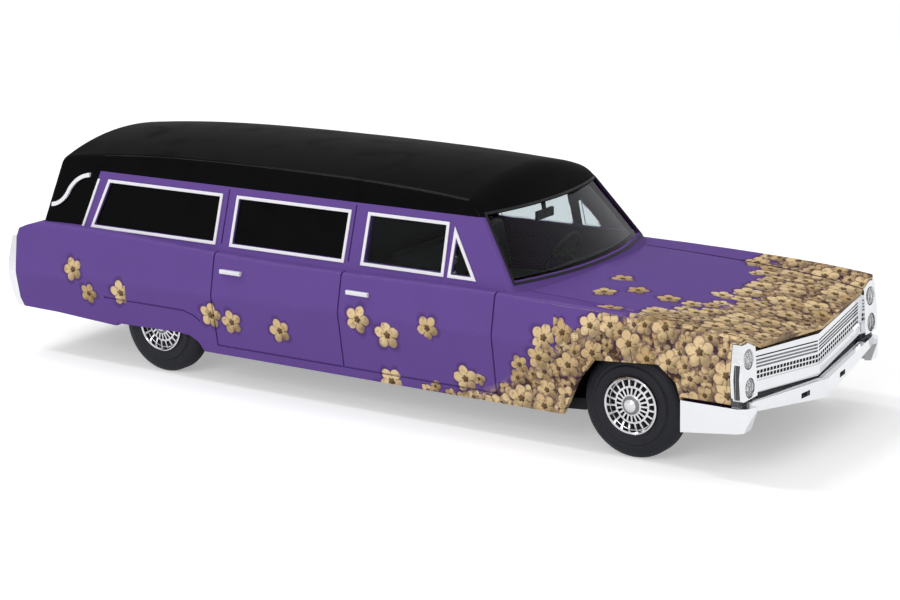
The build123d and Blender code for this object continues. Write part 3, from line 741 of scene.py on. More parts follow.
@dataclass(frozen=True)
class GrillePlating(Plating):
    """Plated front unit with painted shade in its grille cells, slots and gaps.

    Depths are behind the grille face; what stands before it is negative.

    Args:
        face_x: X of the grille face on the centre line.
        lean: Fall of the grille and bumper faces back, per millimetre of Y.
        rise: Rise of the grille's rows per millimetre of Y.
        soft: Width of the masks' edges.
        cell_z: Lowest and highest Z of the cells on the centre line.
        cell_y: Y over which the cells end.
        cell_depth: Depths where their shade begins and is full.
        web_z: Lowest and highest Z of the gap under the grille.
        web_depth: Depths where its shade begins and is full.
        slot_y: Inner and outer Y of the bumper slots.
        slot_z: Lowest and highest Z of the bumper slots.
        slot_depth: Depths where their shade begins and is full.
        under_x: X where the shade under the lamps begins and is full.
        under_y: Y over which it begins.
        under_z: Its lowest and highest Z.
        end_x: First and last X of the slot beside the lamps.
        end_y: Its inner and outer Y.
        end_soft: Width of its edges in Y.
        end_z: Its lowest and highest Z.
    """

    face_x: float = 35.9
    lean: float = 0.0973
    rise: float = 0.09
    soft: float = 0.02
    cell_z: Pair = (6.12, 8.05)
    cell_y: Pair = (9.1, 9.0)
    cell_depth: Pair = (0.08, 0.36)
    web_z: Pair = (4.7, 5.19)
    web_depth: Pair = (0.05, 0.15)
    slot_y: Pair = (2.55, 3.85)
    slot_z: Pair = (4.44, 4.86)
    slot_depth: Pair = (-0.75, -0.6)
    under_x: Pair = (35.5, 35.3)
    under_y: Pair = (9.1, 9.2)
    under_z: Pair = (5.57, 6.03)
    end_x: Pair = (34.82, 35.23)
    end_y: Pair = (11.0, 11.4)
    end_soft: float = 0.05
    end_z: Pair = (6.12, 8.68)

    def recess_shade(self, graph: Graph, effects: Effects, place: Socket) -> Socket:
        """Mask of the painted shade on the cell floors, slots and gaps.

        Args:
            graph: Graph of the material.
            effects: Shared node groups.
            place: Place in millimetres.

        Returns:
            The mask socket.
        """
        def within(value: Socket, limits: Pair) -> Socket:
            """Mask between two limits."""
            return graph.window(value, *limits, self.soft)

        x, y, z = graph.axes(place)
        out = graph.math("ABSOLUTE", y)
        row = graph.math("MULTIPLY_ADD", out, -self.rise, z)
        swept = graph.math("MULTIPLY_ADD", out, self.lean, x)
        depth = graph.math("SUBTRACT", self.face_x, swept)
        cells = (within(row, self.cell_z), graph.span(out, *self.cell_y), graph.span(depth, *self.cell_depth))
        web = (within(row, self.web_z), graph.span(depth, *self.web_depth))
        slots = (within(out, self.slot_y), within(z, self.slot_z), graph.span(depth, *self.slot_depth))
        under = (within(z, self.under_z), graph.span(x, *self.under_x), graph.span(out, *self.under_y))
        flank = graph.window(out, *self.end_y, self.end_soft)
        ends = (within(x, self.end_x), within(z, self.end_z), flank)
        mask = graph.overlap(*cells)
        for limits in (web, slots, under, ends):
            mask = graph.math("MAXIMUM", mask, graph.overlap(*limits))
        return mask


@dataclass(frozen=True)
class WheelSpot:
    """Middle of the left wheel at one end of the car, in millimetres.

    Args:
        axle_x: X of the axle.
        axle_z: Z of the axle.
        half_track: Y of the wheel's middle.
    """

    axle_x: float = 0.0
    axle_z: float = 0.0
    half_track: float = 0.0

    def find(self, graph: Graph, effects: Effects, place: Socket) -> bpy.types.NodeOutputs:
        """Find a point of the wheel.

        Args:
            graph: Graph of the material.
            effects: Shared node groups.
            place: Place in millimetres.

        Returns:
            Its Radius and its outward Depth.
        """
        return graph.group(effects.wheel_place, {
            "Place": place, "Axle X": self.axle_x, "Axle Z": self.axle_z, "Half Track": self.half_track,
        })


@dataclass(frozen=True)
class WirePlating(Plating):
    """Plated wheel insert with painted shade in the gaps between its spokes.

    Args:
        spot: Middle of the wheel.
        ring: Inner and outer radius of the spokes.
        ring_soft: Width of their edges.
        floor: Depths where the shade of a gap begins and is full.
        collar: Inner and outer radius of the shaded collar round the hub.
        collar_soft: Width of its edges.
        collar_share: Strength of its shade.
    """

    spot: WheelSpot = WheelSpot()
    ring: Pair = (0.8, 1.98)
    ring_soft: float = 0.04
    floor: Pair = (0.56, 0.48)
    collar: Pair = (0.5, 0.68)
    collar_soft: float = 0.05
    collar_share: float = 0.7

    def recess_shade(self, graph: Graph, effects: Effects, place: Socket) -> Socket:
        """Mask of the painted shade in the gaps and on the collar.

        Args:
            graph: Graph of the material.
            effects: Shared node groups.
            place: Place in millimetres.

        Returns:
            The mask socket.
        """
        found = self.spot.find(graph, effects, place)
        ring = graph.window(found["Radius"], *self.ring, self.ring_soft)
        gaps = graph.overlap(graph.span(found["Depth"], *self.floor), ring)
        collar = graph.window(found["Radius"], *self.collar, self.collar_soft)
        return graph.math("MAXIMUM", gaps, graph.overlap(collar, self.collar_share))


@dataclass(frozen=True)
class Glazing(Finish):
    """Clear moulded pane.

    Args:
        ior: Index of refraction.
        patches: Handled patches per millimetre.
        haze: Roughness that handling adds.
        ripple: Depth of the mould's ripple in metres.
        ripple_scale: Ripples per millimetre.
    """

    ior: float = 1.45
    patches: float = 0.3
    haze: float = 0.015
    ripple: float = 6e-6
    ripple_scale: float = 0.5

    def build(self, effects: Effects) -> bpy.types.Material:
        """Make the material.

        Args:
            effects: Shared node groups.

        Returns:
            The material.
        """
        material, graph, shader = self.start()
        place = graph.millimetres()
        handled = graph.group(effects.smudge, {"Place": place, "Spread": self.patches})["Mask"]
        graph.feed(shader, {
            "Roughness": graph.mix(handled, self.roughness, self.roughness + self.haze),
            "Transmission Weight": 1.0,
            "IOR": self.ior,
            "Normal": graph.bump(graph.noise(place, self.ripple_scale), self.ripple),
        })
        return material


@dataclass(frozen=True)
class LampLens(Finish):
    """Clear or red lens with upright flutes.

    Args:
        transmission: Share of light that passes.
        flutes: Flutes per millimetre.
        flute_depth: Depth of a flute in metres.
        fine: Grain cells per millimetre.
        lift: Factor of the grain's light tone.
    """

    transmission: float = 0.9
    flutes: float = 3.0
    flute_depth: float = 2.5e-5
    fine: float = 4.0
    lift: float = 1.1

    def build(self, effects: Effects) -> bpy.types.Material:
        """Make the material.

        Args:
            effects: Shared node groups.

        Returns:
            The material.
        """
        material, graph, shader = self.start()
        place = graph.millimetres()
        y = graph.axes(place)[1]
        wave = graph.math("SINE", graph.math("MULTIPLY", y, math.tau * self.flutes))
        grain = graph.group(effects.grain, {"Place": place, "Fine": self.fine})
        graph.feed(shader, {
            "Base Color": graph.blend(grain["Tone"], self.colour, self.toned(self.lift)),
            "Transmission Weight": self.transmission,
            "Normal": graph.bump(wave, self.flute_depth),
        })
        return material


@dataclass(frozen=True)
class Rubber(Finish):
    """Satin tyre with turned sidewall rings.

    Args:
        spot: Middle of the wheel.
        specular: Specular level.
        rings: Radians of the turning marks per millimetre of radius.
        ring_share: Their height as a share of the grain's.
        pale_shoulder: Radii between which the tread's wear grows.
        pale_shoulder_share: Strength of the wear.
        fine: Grain cells per millimetre.
        fine_share: Strength of the grain's tone.
        grain: Depth of the grain in metres.
        lift: Factor of the worn tone.
        dulling: Roughness that wear adds.
    """

    spot: WheelSpot = WheelSpot()
    specular: float = 0.25
    rings: float = 42.0
    ring_share: float = 0.5
    # pale_shoulder: Radii between which the tyre grows paler towards its shoulder.
    pale_shoulder: Pair = (3.7, 4.1)
    # pale_shoulder_share: Strength of that paler tone.
    pale_shoulder_share: float = 0.5
    fine: float = 7.0
    fine_share: float = 0.6
    grain: float = 1.2e-5
    # lift: Factor of the pale tone.
    lift: float = 2.2
    # dulling: Roughness that the grain's tone and the pale shoulder add.
    dulling: float = 0.15

    def build(self, effects: Effects) -> bpy.types.Material:
        """Make the material.

        Args:
            effects: Shared node groups.

        Returns:
            The material.
        """
        material, graph, shader = self.start()
        place = graph.millimetres()
        radius = self.spot.find(graph, effects, place)["Radius"]
        rings = graph.math("SINE", graph.math("MULTIPLY", radius, self.rings))
        grain = graph.group(effects.grain, {"Place": place, "Fine": self.fine})
        # Paler towards the shoulder, all round the tyre.
        pale_shoulder = graph.overlap(graph.span(radius, *self.pale_shoulder), self.pale_shoulder_share)
        tone = graph.math("MULTIPLY_ADD", grain["Tone"], self.fine_share, pale_shoulder, clamp=True)
        height = graph.math("MULTIPLY_ADD", rings, self.ring_share, grain["Height"])
        graph.feed(shader, {
            "Base Color": graph.blend(tone, self.colour, self.toned(self.lift)),
            "Roughness": graph.mix(tone, self.roughness, self.roughness + self.dulling),
            "Specular IOR Level": self.specular,
            "Normal": graph.bump(height, self.grain),
        })
        return material


@dataclass(frozen=True)
class DrawnSteel(Finish):
    """Steel pin with drawing lines along Y.

    Args:
        stretch: Stretch of the grain along each axis.
        fine: Grain cells per millimetre.
        grain: Depth of the grain in metres.
        dull: Factor of the grain's dark tone.
        dulling: Roughness that the grain adds.
    """

    stretch: Triple = (1.0, 0.05, 1.0)
    fine: float = 18.0
    grain: float = 4e-6
    dull: float = 0.75
    dulling: float = 0.2

    def build(self, effects: Effects) -> bpy.types.Material:
        """Make the material.

        Args:
            effects: Shared node groups.

        Returns:
            The material.
        """
        material, graph, shader = self.start()
        place = graph.vector("MULTIPLY", graph.millimetres(), self.stretch)
        grain = graph.group(effects.grain, {"Place": place, "Fine": self.fine})
        graph.feed(shader, {
            "Base Color": graph.blend(grain["Tone"], self.colour, self.toned(self.dull)),
            "Metallic": 1.0,
            "Roughness": graph.mix(grain["Tone"], self.roughness, self.roughness + self.dulling),
            "Normal": graph.bump(grain["Height"], self.grain),
        })
        return material


class Bench:
    """Edit-mode tools; pieces are shaped in millimetres and finished in metres."""

    @staticmethod
    def take(*pieces: bpy.types.Object) -> None:
        """Select these pieces alone and make the first one active.

        Args:
            pieces: Objects to select.
        """
        bpy.ops.object.select_all(action="DESELECT")
        for piece in pieces:
            piece.select_set(True)
        bpy.context.view_layer.objects.active = pieces[0]

    @staticmethod
    def bake() -> None:
        """Put the place, turn and size of what is selected into its mesh."""
        bpy.ops.object.transform_apply(location=True, rotation=True, scale=True)

    @staticmethod
    def call(piece: bpy.types.Object, name: str) -> None:
        """Name a piece and its mesh."""
        piece.name = name
        piece.data.name = name

    @staticmethod
    def start(name: str, add: Callable[..., object], **settings: object) -> bpy.types.Object:
        """Add a primitive and open it for shaping.

        Args:
            name: Name of the piece.
            add: Operator that adds the primitive.
            settings: Its size and place.

        Returns:
            The new object, in edit mode with everything selected.
        """
        bpy.ops.object.select_all(action="DESELECT")
        add(**settings)
        piece = bpy.context.object
        Bench.call(piece, name)
        Bench.bake()
        bpy.ops.object.mode_set(mode="EDIT")
        bpy.ops.mesh.select_all(action="SELECT")
        return piece

    @staticmethod
    def pick(piece: bpy.types.Object, kind: Pick, test: Callable[[Vector], bool]) -> None:
        """Select the elements whose middle passes a test.

        Args:
            piece: Object in edit mode.
            kind: Kind of element.
            test: Test on the middle of an element.
        """
        bpy.ops.mesh.select_mode(type=kind.value)
        bpy.ops.mesh.select_all(action="DESELECT")
        shape = bmesh.from_edit_mesh(piece.data)
        for element in shape.verts if kind is Pick.VERTICES else shape.faces:
            points = [element] if kind is Pick.VERTICES else element.verts
            middle = sum((v.co for v in points), Vector()) / len(points)
            if test(middle):
                element.select_set(True)
        shape.select_flush_mode()
        bmesh.update_edit_mesh(piece.data)

    @staticmethod
    def close() -> None:
        """Merge doubles, turn the normals outwards and leave edit mode."""
        bpy.ops.mesh.select_all(action="SELECT")
        bpy.ops.mesh.remove_doubles(threshold=MERGE_GAP)
        bpy.ops.mesh.normals_make_consistent(inside=False)
        bpy.ops.object.mode_set(mode="OBJECT")

    @staticmethod
    def place(piece: bpy.types.Object, at: Triple, turn: Triple = (0, 0, 0)) -> None:
        """Turn and move a piece given in millimetres, and bake that into its mesh.

        Args:
            piece: Finished object.
            at: Place in millimetres.
            turn: Turn in radians.
        """
        Bench.take(piece)
        piece.rotation_euler = turn
        piece.location = at
        Bench.bake()

    @staticmethod
    def to_metres(piece: bpy.types.Object, smooth: float = 35.0) -> None:
        """Bring a finished piece from millimetres to metres and smooth it.

        Args:
            piece: Object to finish.
            smooth: Largest angle that is smoothed, in degrees.
        """
        Bench.take(piece)
        piece.scale = (MM, MM, MM)
        Bench.bake()
        bpy.ops.object.shade_smooth_by_angle(angle=math.radians(smooth))

    @staticmethod
    def outline(piece: bpy.types.Object, corners: list[Vector]) -> None:
        """Move the corners of a flat primitive to given points.

        Each corner first goes far off by its own step, so that no two ever share a place.

        Args:
            piece: Flat primitive of as many corners, in edit mode.
            corners: New corners, in turning order.
        """
        starts = [v.co.copy() for v in bmesh.from_edit_mesh(piece.data).verts]
        far = Vector((1e3, 1e3, 1e3))
        for old in starts:
            Bench.pick(piece, Pick.VERTICES, lambda p, old=old: (p - old).length < MERGE_GAP)
            bpy.ops.transform.translate(value=far + old)
        for old, new in zip(starts, corners):
            spot = far + old * 2
            Bench.pick(piece, Pick.VERTICES, lambda p, spot=spot: (p - spot).length < 100 * MERGE_GAP)
            bpy.ops.transform.translate(value=new - spot)
        bpy.ops.mesh.select_mode(type=Pick.FACES.value)
        bpy.ops.mesh.select_all(action="SELECT")

    @staticmethod
    def ring(piece: bpy.types.Object, corners: list[Vector], width: float) -> None:
        """Shape a flat primitive into a ring round an opening.

        Args:
            piece: Flat primitive of as many corners, in edit mode.
            corners: Corners of the opening, in turning order.
            width: Width of the ring outside the opening.
        """
        Bench.outline(piece, Bench.widened(corners, width))
        bpy.ops.mesh.inset(thickness=width)
        bpy.ops.mesh.delete(type="FACE")
        bpy.ops.mesh.select_all(action="SELECT")

    @staticmethod
    def widened(corners: list[Vector], width: float) -> list[Vector]:
        """Move every side of a flat convex outline outwards.

        Args:
            corners: Corners in turning order.
            width: How far each side moves.

        Returns:
            The corners of the wider outline.
        """
        middle = sum(corners, Vector()) / len(corners)
        found = []
        for i, corner in enumerate(corners):
            before = (corner - corners[i - 1]).normalized()
            after = (corners[(i + 1) % len(corners)] - corner).normalized()
            outward = (before - after).normalized()
            if outward.dot(corner - middle) < 0:
                outward.negate()
            half_angle = before.angle(after) / 2
            found.append(corner + outward * (width / math.cos(half_angle)))
        return found

    @staticmethod
    def copy(piece: bpy.types.Object, name: str) -> bpy.types.Object:
        """Copy a piece with its own mesh.

        Args:
            piece: Object to copy.
            name: Name of the copy.

        Returns:
            The copy.
        """
        twin = piece.copy()
        twin.data = piece.data.copy()
        Bench.call(twin, name)
        bpy.context.scene.collection.objects.link(twin)
        return twin

    @staticmethod
    def mirrored(piece: bpy.types.Object, name: str) -> bpy.types.Object:
        """Copy a piece to the other side of the car, with its normals outwards.

        Args:
            piece: Object to copy.
            name: Name of the copy.

        Returns:
            The copy.
        """
        twin = Bench.copy(piece, name)
        Bench.take(twin)
        twin.scale = (1, -1, 1)
        Bench.bake()
        bpy.ops.object.mode_set(mode="EDIT")
        Bench.close()
        return twin

    @staticmethod
    def merged(pieces: list[bpy.types.Object], name: str) -> bpy.types.Object:
        """Join pieces into the first one.

        Args:
            pieces: Objects to join.
            name: Name of the whole.

        Returns:
            The joined object.
        """
        Bench.take(*pieces)
        bpy.ops.object.join()
        Bench.call(pieces[0], name)
        return pieces[0]

    @staticmethod
    def apply(piece: bpy.types.Object) -> None:
        """Apply every modifier of a piece.

        Args:
            piece: Object whose modifiers are applied.
        """
        Bench.take(piece)
        for modifier in list(piece.modifiers):
            bpy.ops.object.modifier_apply(modifier=modifier.name)


@dataclass
class WindowTrim:
    """Bright frames round the side windows, one piece for each side.

    Args:
        belt_y: Half-width of the cabin side at belt_z.
        belt_z: Height of the belt.
        lean: Inward lean of the side per millimetre of height.
        width: Width of the bright line.
        proud: How far it stands off the side.
        edge: Width of its bevel.
        edge_steps: Steps of its bevel.
        outlines: Window corners in X and Z.
        strip: Corners of the bright line in front of the rear quarter.
    """

    belt_y: float = 10.3
    belt_z: float = 11.3
    lean: float = 0.327
    width: float = 0.27
    proud: float = 0.1
    edge: float = 0.035
    edge_steps: int = 2
    outlines: tuple[Outline, ...] = (
        ((-27.15, 12.0), (-13.9, 12.0), (-13.9, 15.55), (-26.1, 15.55)),
        ((-11.9, 12.0), (-0.7, 12.0), (-0.7, 15.55), (-11.9, 15.55)),
        ((1.45, 12.0), (8.85, 12.0), (8.7, 15.55), (1.45, 15.55)),
        ((9.75, 12.0), (11.65, 12.0), (9.75, 14.7)),
    )
    strip: Outline = ((-28.52, 11.75), (-28.27, 11.75), (-27.27, 15.75), (-27.52, 15.75))

    def frame(self, corners: Outline, name: str, is_ring: bool = True) -> bpy.types.Object:
        """One frame or strip, flat in X and Z, its back on the side.

        Args:
            corners: Corners in X and Z.
            name: Name of the piece.
            is_ring: Whether it goes round the corners or fills them.

        Returns:
            The frame in millimetres, leaning with the cabin side.
        """
        slope = math.sqrt(1 + self.lean ** 2)
        points = [Vector((x, 0, (z - self.belt_z) * slope)) for x, z in corners]
        piece = Bench.start(name, bpy.ops.mesh.primitive_circle_add, vertices=len(points), radius=1.0,
                            fill_type="NGON", rotation=(math.pi / 2, 0, 0))
        if is_ring:
            Bench.ring(piece, points, self.width)
        else:
            Bench.outline(piece, points)
        bpy.ops.mesh.extrude_region_move(TRANSFORM_OT_translate={"value": (0, self.proud, 0)})
        Bench.close()
        bevel = piece.modifiers.new("soft_edge", "BEVEL")
        bevel.width = self.edge
        bevel.segments = self.edge_steps
        Bench.apply(piece)
        Bench.place(piece, (0, self.belt_y, self.belt_z), (math.atan(self.lean), 0, 0))
        return piece

    def build(self, material: bpy.types.Material) -> None:
        """Make the frames of both sides.

        Args:
            material: Their finish.
        """
        frames = [self.frame(corners, f"window_frame_{i}") for i, corners in enumerate(self.outlines)]
        frames.append(self.frame(self.strip, "roof_strip", is_ring=False))
        left = Bench.merged(frames, "window_trim_left")
        right = Bench.mirrored(left, "window_trim_right")
        for piece in (left, right):
            Bench.to_metres(piece)
            piece.data.materials.append(material)
            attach(piece, "body")
            LOG.info("%s: %d faces", piece.name, len(piece.data.polygons))


@dataclass
class Gasket:
    """Rubber surround laid on the body round the windscreen.

    Args:
        name: Name of the piece.
        low: Half-width and height of the opening's lower corners.
        high: Half-width and height of its upper corners.
        start_x: X from which it is laid on.
        width: Width of the rubber.
        proud: How far it stands off what it lies on.
        cuts: Cuts of each side, made twice over.
        smooth: Largest angle that is smoothed, in degrees.
        targets: Nodes that it lies on.
    """

    name: str = "screen_gasket"
    low: Pair = (9.62, 11.92)
    high: Pair = (8.13, 16.54)
    start_x: float = 30.0
    width: float = 0.16
    proud: float = 0.06
    cuts: int = 3
    smooth: float = 40.0
    targets: tuple[str, str] = ("body_shell", "roof")

    def build(self, frame: dict, material: bpy.types.Material) -> None:
        """Make the surround and lay it on its nodes.

        Args:
            frame: Loaded frame.
            material: Its finish.
        """
        corners = ((-1, self.low), (1, self.low), (1, self.high), (-1, self.high))
        points = [Vector((0, side * half, z)) for side, (half, z) in corners]
        piece = Bench.start(self.name, bpy.ops.mesh.primitive_circle_add, vertices=len(points), radius=1.0,
                            fill_type="NGON", rotation=(math.pi / 2, 0, math.pi / 2))
        Bench.ring(piece, points, self.width)
        bpy.ops.transform.translate(value=(self.start_x, 0, 0))
        for _ in range(2):
            bpy.ops.mesh.subdivide(number_cuts=self.cuts)
        bpy.ops.object.mode_set(mode="OBJECT")
        Bench.to_metres(piece)
        wrap = piece.modifiers.new("lay", "SHRINKWRAP")
        wrap.wrap_method = "PROJECT"
        wrap.use_project_x = True
        wrap.use_negative_direction = True
        wrap.use_positive_direction = True
        wrap.target, wrap.auxiliary_target = (frame["nodes"][name] for name in self.targets)
        wall = piece.modifiers.new("wall", "SOLIDIFY")
        wall.thickness = self.proud * 2 * MM
        wall.offset = 0.0
        Bench.apply(piece)
        bpy.ops.object.shade_smooth_by_angle(angle=math.radians(self.smooth))
        piece.data.materials.append(material)
        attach(piece, "body")
        LOG.info("%s: %d faces", piece.name, len(piece.data.polygons))


@dataclass
class TyreSet:
    """Four tyres with ribbed treads and turned sidewalls, in place of the plain solids.

    Args:
        radius: Outer radius.
        half_width: Half of the width.
        segments: Steps round the tyre.
        wall: Depth under the tread and distance from the side of each ring, from the bead outwards.
        grooves: Y of the tread grooves on one half.
        groove_depth: Depth of a groove.
        groove_half: Half of its width at the tread and at its floor.
        rib: Y limits of the shoulder rib.
        sipe_pitch: Steps from one sipe of the rib to the next.
        sipe_rim: Width of a sipe's sloped wall.
        sipe_depth: Depth of a sipe.
    """

    radius: float
    half_width: float
    segments: int = 144
    wall: Outline = (
        (1.87, 0.15), (1.79, 0.09), (1.5, 0.05), (1.25, 0.01), (1.15, 0.0), (1.1, 0.03), (1.03, 0.1),
        (0.9, 0.1), (0.84, 0.06), (0.76, 0.1), (0.5, 0.12), (0.32, 0.2), (0.15, 0.32), (0.05, 0.47),
        (0.0, 0.62),
    )
    grooves: Pair = (0.32, 0.12)
    groove_depth: float = 0.1
    groove_half: Pair = (0.045, 0.03)
    rib: Pair = (0.37, 0.45)
    sipe_pitch: int = 3
    sipe_rim: float = 0.015
    sipe_depth: float = 0.05

    def profile(self) -> list[Pair]:
        """Trace the section from the inner bead over the tread and back.

        Returns:
            The radius and Y of each ring.
        """
        half = [(self.radius - depth, self.half_width - inset) for depth, inset in self.wall]
        tread, floor = self.radius, self.radius - self.groove_depth
        wide, narrow = self.groove_half
        for y in self.grooves:
            half += [(tread, y + wide), (floor, y + narrow), (floor, y - narrow), (tread, y - wide)]
        return half + [(radius, -y) for radius, y in reversed(half)]

    def model(self) -> bpy.types.Object:
        """One tyre about the origin, its axis along Y.

        Returns:
            The tyre in millimetres.
        """
        rings = self.profile()
        first_radius, first_y = rings[0]
        piece = Bench.start("tyre_pattern", bpy.ops.mesh.primitive_circle_add, vertices=self.segments,
                            radius=first_radius, rotation=(math.pi / 2, 0, 0), location=(0, first_y, 0))
        for (old_radius, old_y), (new_radius, new_y) in zip(rings, rings[1:] + rings[:1]):
            bpy.ops.mesh.extrude_edges_move(TRANSFORM_OT_translate={"value": (0, new_y - old_y, 0)})
            share = new_radius / old_radius
            bpy.ops.transform.resize(value=(share, 1, share), center_override=(0, new_y, 0))
        bpy.ops.mesh.select_all(action="SELECT")
        bpy.ops.mesh.remove_doubles(threshold=MERGE_GAP)
        self.cut_sipes(piece)
        Bench.close()
        return piece

    def cut_sipes(self, piece: bpy.types.Object) -> None:
        """Sink steps of the tread's shoulder ribs at an even pitch.

        Args:
            piece: Tyre in edit mode.
        """
        step = math.tau / self.segments
        low, high = self.rib
        tread = self.radius - self.sipe_depth / 2

        def is_sipe(p: Vector) -> bool:
            """Whether a face with this middle is sunk."""
            on_rib = low < abs(p.y) < high and math.hypot(p.x, p.z) > tread
            return on_rib and int((math.atan2(p.z, p.x) + math.pi) / step) % self.sipe_pitch == 0

        Bench.pick(piece, Pick.FACES, is_sipe)
        bpy.ops.mesh.inset(thickness=self.sipe_rim, depth=-self.sipe_depth, use_individual=True)

    def build(self, materials: dict[str, bpy.types.Material]) -> None:
        """Set a tyre on every wheel.

        Args:
            materials: Finish by end of the car.
        """
        pattern = self.model()
        for end, body in (("front", "front_wheels"), ("rear", "rear_wheels")):
            for side in Side:
                node = f"{end}_{side.name.lower()}_tyre"
                low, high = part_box(node)
                tyre = Bench.copy(pattern, f"{node}_tread")
                middle = tuple((a + b) / 2 / MM for a, b in zip(low, high))
                Bench.place(tyre, middle)
                Bench.to_metres(tyre)
                tyre.data.materials.append(materials[end])
                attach(tyre, body)
                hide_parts(node)
                LOG.info("%s: %d faces", tyre.name, len(tyre.data.polygons))
        bpy.data.objects.remove(pattern)


def hang(data: bpy.types.ID, place: Triple, turn: Triple) -> bpy.types.Object:
    """Put a camera or a lamp into the scene.

    Args:
        data: Camera or lamp.
        place: Place in metres.
        turn: Turn in degrees.

    Returns:
        The object that holds it.
    """
    holder = bpy.data.objects.new(data.name, data)
    holder.location = place
    holder.rotation_euler = Euler([math.radians(a) for a in turn])
    bpy.context.scene.collection.objects.link(holder)
    return holder


@dataclass(frozen=True)
class SoftBox:
    """Rectangular studio lamp.

    Args:
        name: Name of the lamp.
        power: Power in watts.
        size: Length and width in metres.
        place: Place in metres.
        turn: Turn in degrees.
    """

    name: str
    power: float
    size: Pair
    place: Triple
    turn: Triple

    def build(self) -> None:
        """Make the lamp and hang it."""
        lamp = bpy.data.lights.new(self.name, "AREA")
        lamp.shape = "RECTANGLE"
        lamp.size, lamp.size_y = self.size
        lamp.energy = self.power
        hang(lamp, self.place, self.turn)


@dataclass
class Studio:
    """Floor, lamps and camera.

    Args:
        camera_place: Camera in metres.
        camera_turn: Camera turn in degrees.
        lens: Focal length in millimetres.
        sensor: Width of the sensor in millimetres.
        nearest: Nearest distance that the camera sees, in metres.
        floor_size: Side of the floor in metres.
        floor_colour: Colour of the floor.
        floor_roughness: Roughness of the floor.
        glow: Share of the floor's white that is its own for the camera.
        ambient: World light on dull surfaces.
        key: Strength of the key light.
        key_angle: Width of its disc in degrees.
        key_place: Its place in metres.
        key_turn: Its turn in degrees.
        boxes: Soft boxes, for the side and for the edge of the roof.
    """

    camera_place: Triple = (0.1053476, -0.1495559, 0.0534784)
    camera_turn: Triple = (75.5745, 1.24837, 34.14291)
    lens: float = 90.697
    sensor: float = 36.0
    nearest: float = 0.001
    floor_size: float = 6.0
    floor_colour: Colour = (0.85, 0.85, 0.86)
    floor_roughness: float = 0.9
    glow: float = 0.36
    ambient: float = 0.56
    key: float = 0.36
    key_angle: float = 16.0
    key_place: Triple = (-0.18, 0.06, 0.3)
    key_turn: Triple = (-11, -31, 0)
    boxes: tuple[SoftBox, ...] = (
        SoftBox("side_panel", 0.34, (0.2, 0.2), (0.02, -0.3, 0.16), (62, 0, 4)),
        SoftBox("roof_strip", 0.26, (0.18, 0.03), (-0.2, -0.06, 0.3), (12, -33, 0)),
    )

    def camera(self) -> None:
        """Add the camera at the photograph's angle."""
        camera = bpy.data.cameras.new("camera")
        camera.lens = self.lens
        camera.sensor_width = self.sensor
        camera.clip_start = self.nearest
        bpy.context.scene.camera = hang(camera, self.camera_place, self.camera_turn)

    @staticmethod
    def seen(graph: Graph) -> Socket:
        """Find the rays that look at the background.

        Args:
            graph: Graph of the floor or the world.

        Returns:
            The mask socket.
        """
        path = graph.add("ShaderNodeLightPath").outputs
        direct = graph.math("MAXIMUM", path["Is Camera Ray"], path["Is Glossy Ray"])
        return graph.math("MAXIMUM", direct, path["Is Transmission Ray"])

    def floor(self) -> None:
        """Add a pale floor that keeps the shadow."""
        bpy.ops.object.select_all(action="DESELECT")
        bpy.ops.mesh.primitive_plane_add(size=self.floor_size)
        floor = bpy.context.object
        floor.name = "floor"
        material, graph, shader = Finish("floor_white", self.floor_colour, self.floor_roughness).start()
        glow = graph.math("MULTIPLY", self.seen(graph), self.glow)
        white = (1, 1, 1, 1)
        graph.feed(shader, {"Specular IOR Level": 0.0, "Emission Color": white, "Emission Strength": glow})
        floor.data.materials.append(material)

    def light(self) -> None:
        """Add the white surroundings, a soft key light and the soft boxes."""
        world = bpy.data.worlds.new("studio")
        bpy.context.scene.world = world
        world.use_nodes = True
        graph = Graph(world.node_tree)
        strength = graph.mix(self.seen(graph), self.ambient, 1.0)
        graph.feed(graph.tree.nodes["Background"], {"Color": (1, 1, 1, 1), "Strength": strength})
        key = bpy.data.lights.new("key", "SUN")
        key.energy = self.key
        key.angle = math.radians(self.key_angle)
        hang(key, self.key_place, self.key_turn)
        for box in self.boxes:
            box.build()

    def build(self) -> None:
        """Set up the whole studio."""
        self.camera()
        self.floor()
        self.light()
        bpy.context.scene.view_settings.view_transform = "Standard"


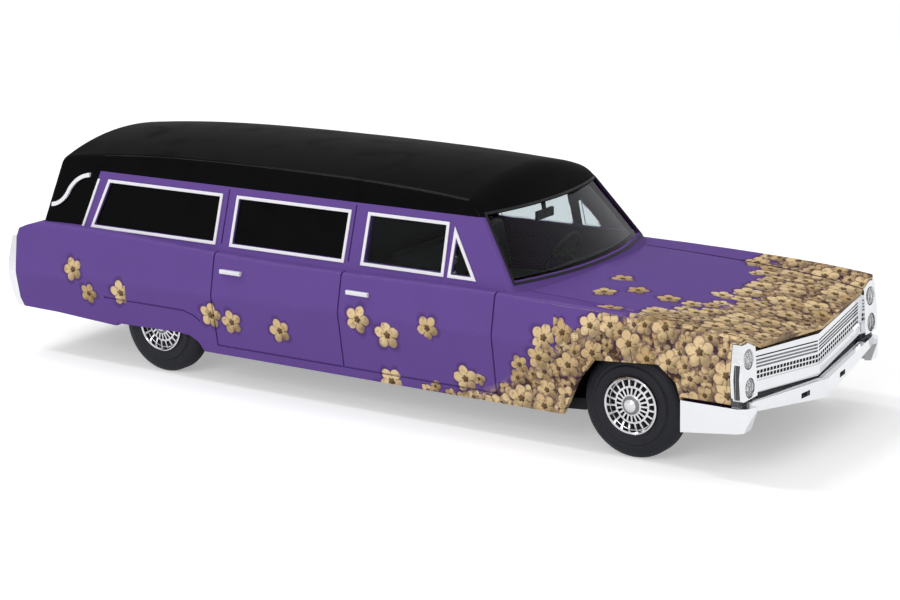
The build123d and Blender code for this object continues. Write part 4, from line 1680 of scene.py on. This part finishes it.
class Dressing:
    """Puts a finish on every CAD node."""

    chrome: Colour = (0.8, 0.81, 0.83)
    chrome_roughness: float = 0.1

    def __init__(self, effects: Effects) -> None:
        """Build the finishes; wheels are placed from the frame.

        Args:
            effects: Shared node groups.
        """
        finishes = {
            "purple_plastic": PrintedBody("purple_print", (0.125, 0.068, 0.268), 0.24),
            "black_gloss": Moulding("black_gloss", (0.002, 0.002, 0.0024), 0.3, specular=0.0, coat=0.065),
            "clear_plastic": Glazing("clear_pane", (0.72, 0.77, 0.78), 0.0, ior=1.14),
            "black_matt": Moulding("black_matt", (0.009, 0.009, 0.011), 0.55, specular=0.2, grain=3e-6),
            "plated": Plating("bright_plating", self.chrome, self.chrome_roughness),
            "lamp_clear": LampLens("lamp_clear", (0.95, 0.96, 0.97), 0.06),
            "lamp_red": LampLens("lamp_red", (0.42, 0.008, 0.01), 0.12, transmission=0.35),
            "silver_print": Moulding("silver_print", (0.66, 0.65, 0.69), 0.32, fine=12.0),
            "steel": DrawnSteel("drawn_steel", (0.6, 0.6, 0.62), 0.25),
        }
        self.made = {slot: finish.build(effects) for slot, finish in finishes.items()}
        self.tyres: dict[str, bpy.types.Material] = {}
        grille = GrillePlating("front_plating", self.chrome, self.chrome_roughness)
        self.special = {"front_brightwork": grille.build(effects)}
        for end in ("front", "rear"):
            low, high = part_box(f"{end}_left_tyre")
            x, y, z = ((a + b) / 2 / MM for a, b in zip(low, high))
            spot = WheelSpot(axle_x=x, axle_z=z, half_track=y)
            rubber = Rubber(f"{end}_rubber", (0.0065, 0.007, 0.0105), 0.5, spot=spot)
            self.tyres[end] = rubber.build(effects)
            wire = WirePlating(f"{end}_wire", (0.7, 0.7, 0.72), 0.12, spot=spot).build(effects)
            for side in Side:
                self.special[f"{end}_{side.name.lower()}_wheel"] = wire
                self.special[f"{end}_{side.name.lower()}_tyre"] = self.tyres[end]

    def dress(self, frame: dict) -> None:
        """Give every node its finish.

        Args:
            frame: Loaded frame.
        """
        for part in frame["record"]["subparts"]:
            name = part["node"]
            node = frame["nodes"][name]
            node.data.materials.clear()
            node.data.materials.append(self.special.get(name) or self.made[part["material_slot"]])
            LOG.info("%s: %s", name, node.data.materials[0].name)


def main() -> None:
    """Build everything in order."""
    logging.basicConfig(level=logging.INFO)
    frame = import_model()
    bpy.ops.object.select_all(action="DESELECT")
    Studio().build()
    dressing = Dressing(Effects())
    dressing.dress(frame)
    WindowTrim().build(dressing.made["silver_print"])
    Gasket().build(frame, dressing.made["black_matt"])
    low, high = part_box("front_left_tyre")
    _, width, height = ((b - a) / MM for a, b in zip(low, high))
    TyreSet(height / 2, width / 2).build(dressing.tyres)


if __name__ == "__main__":
    main()
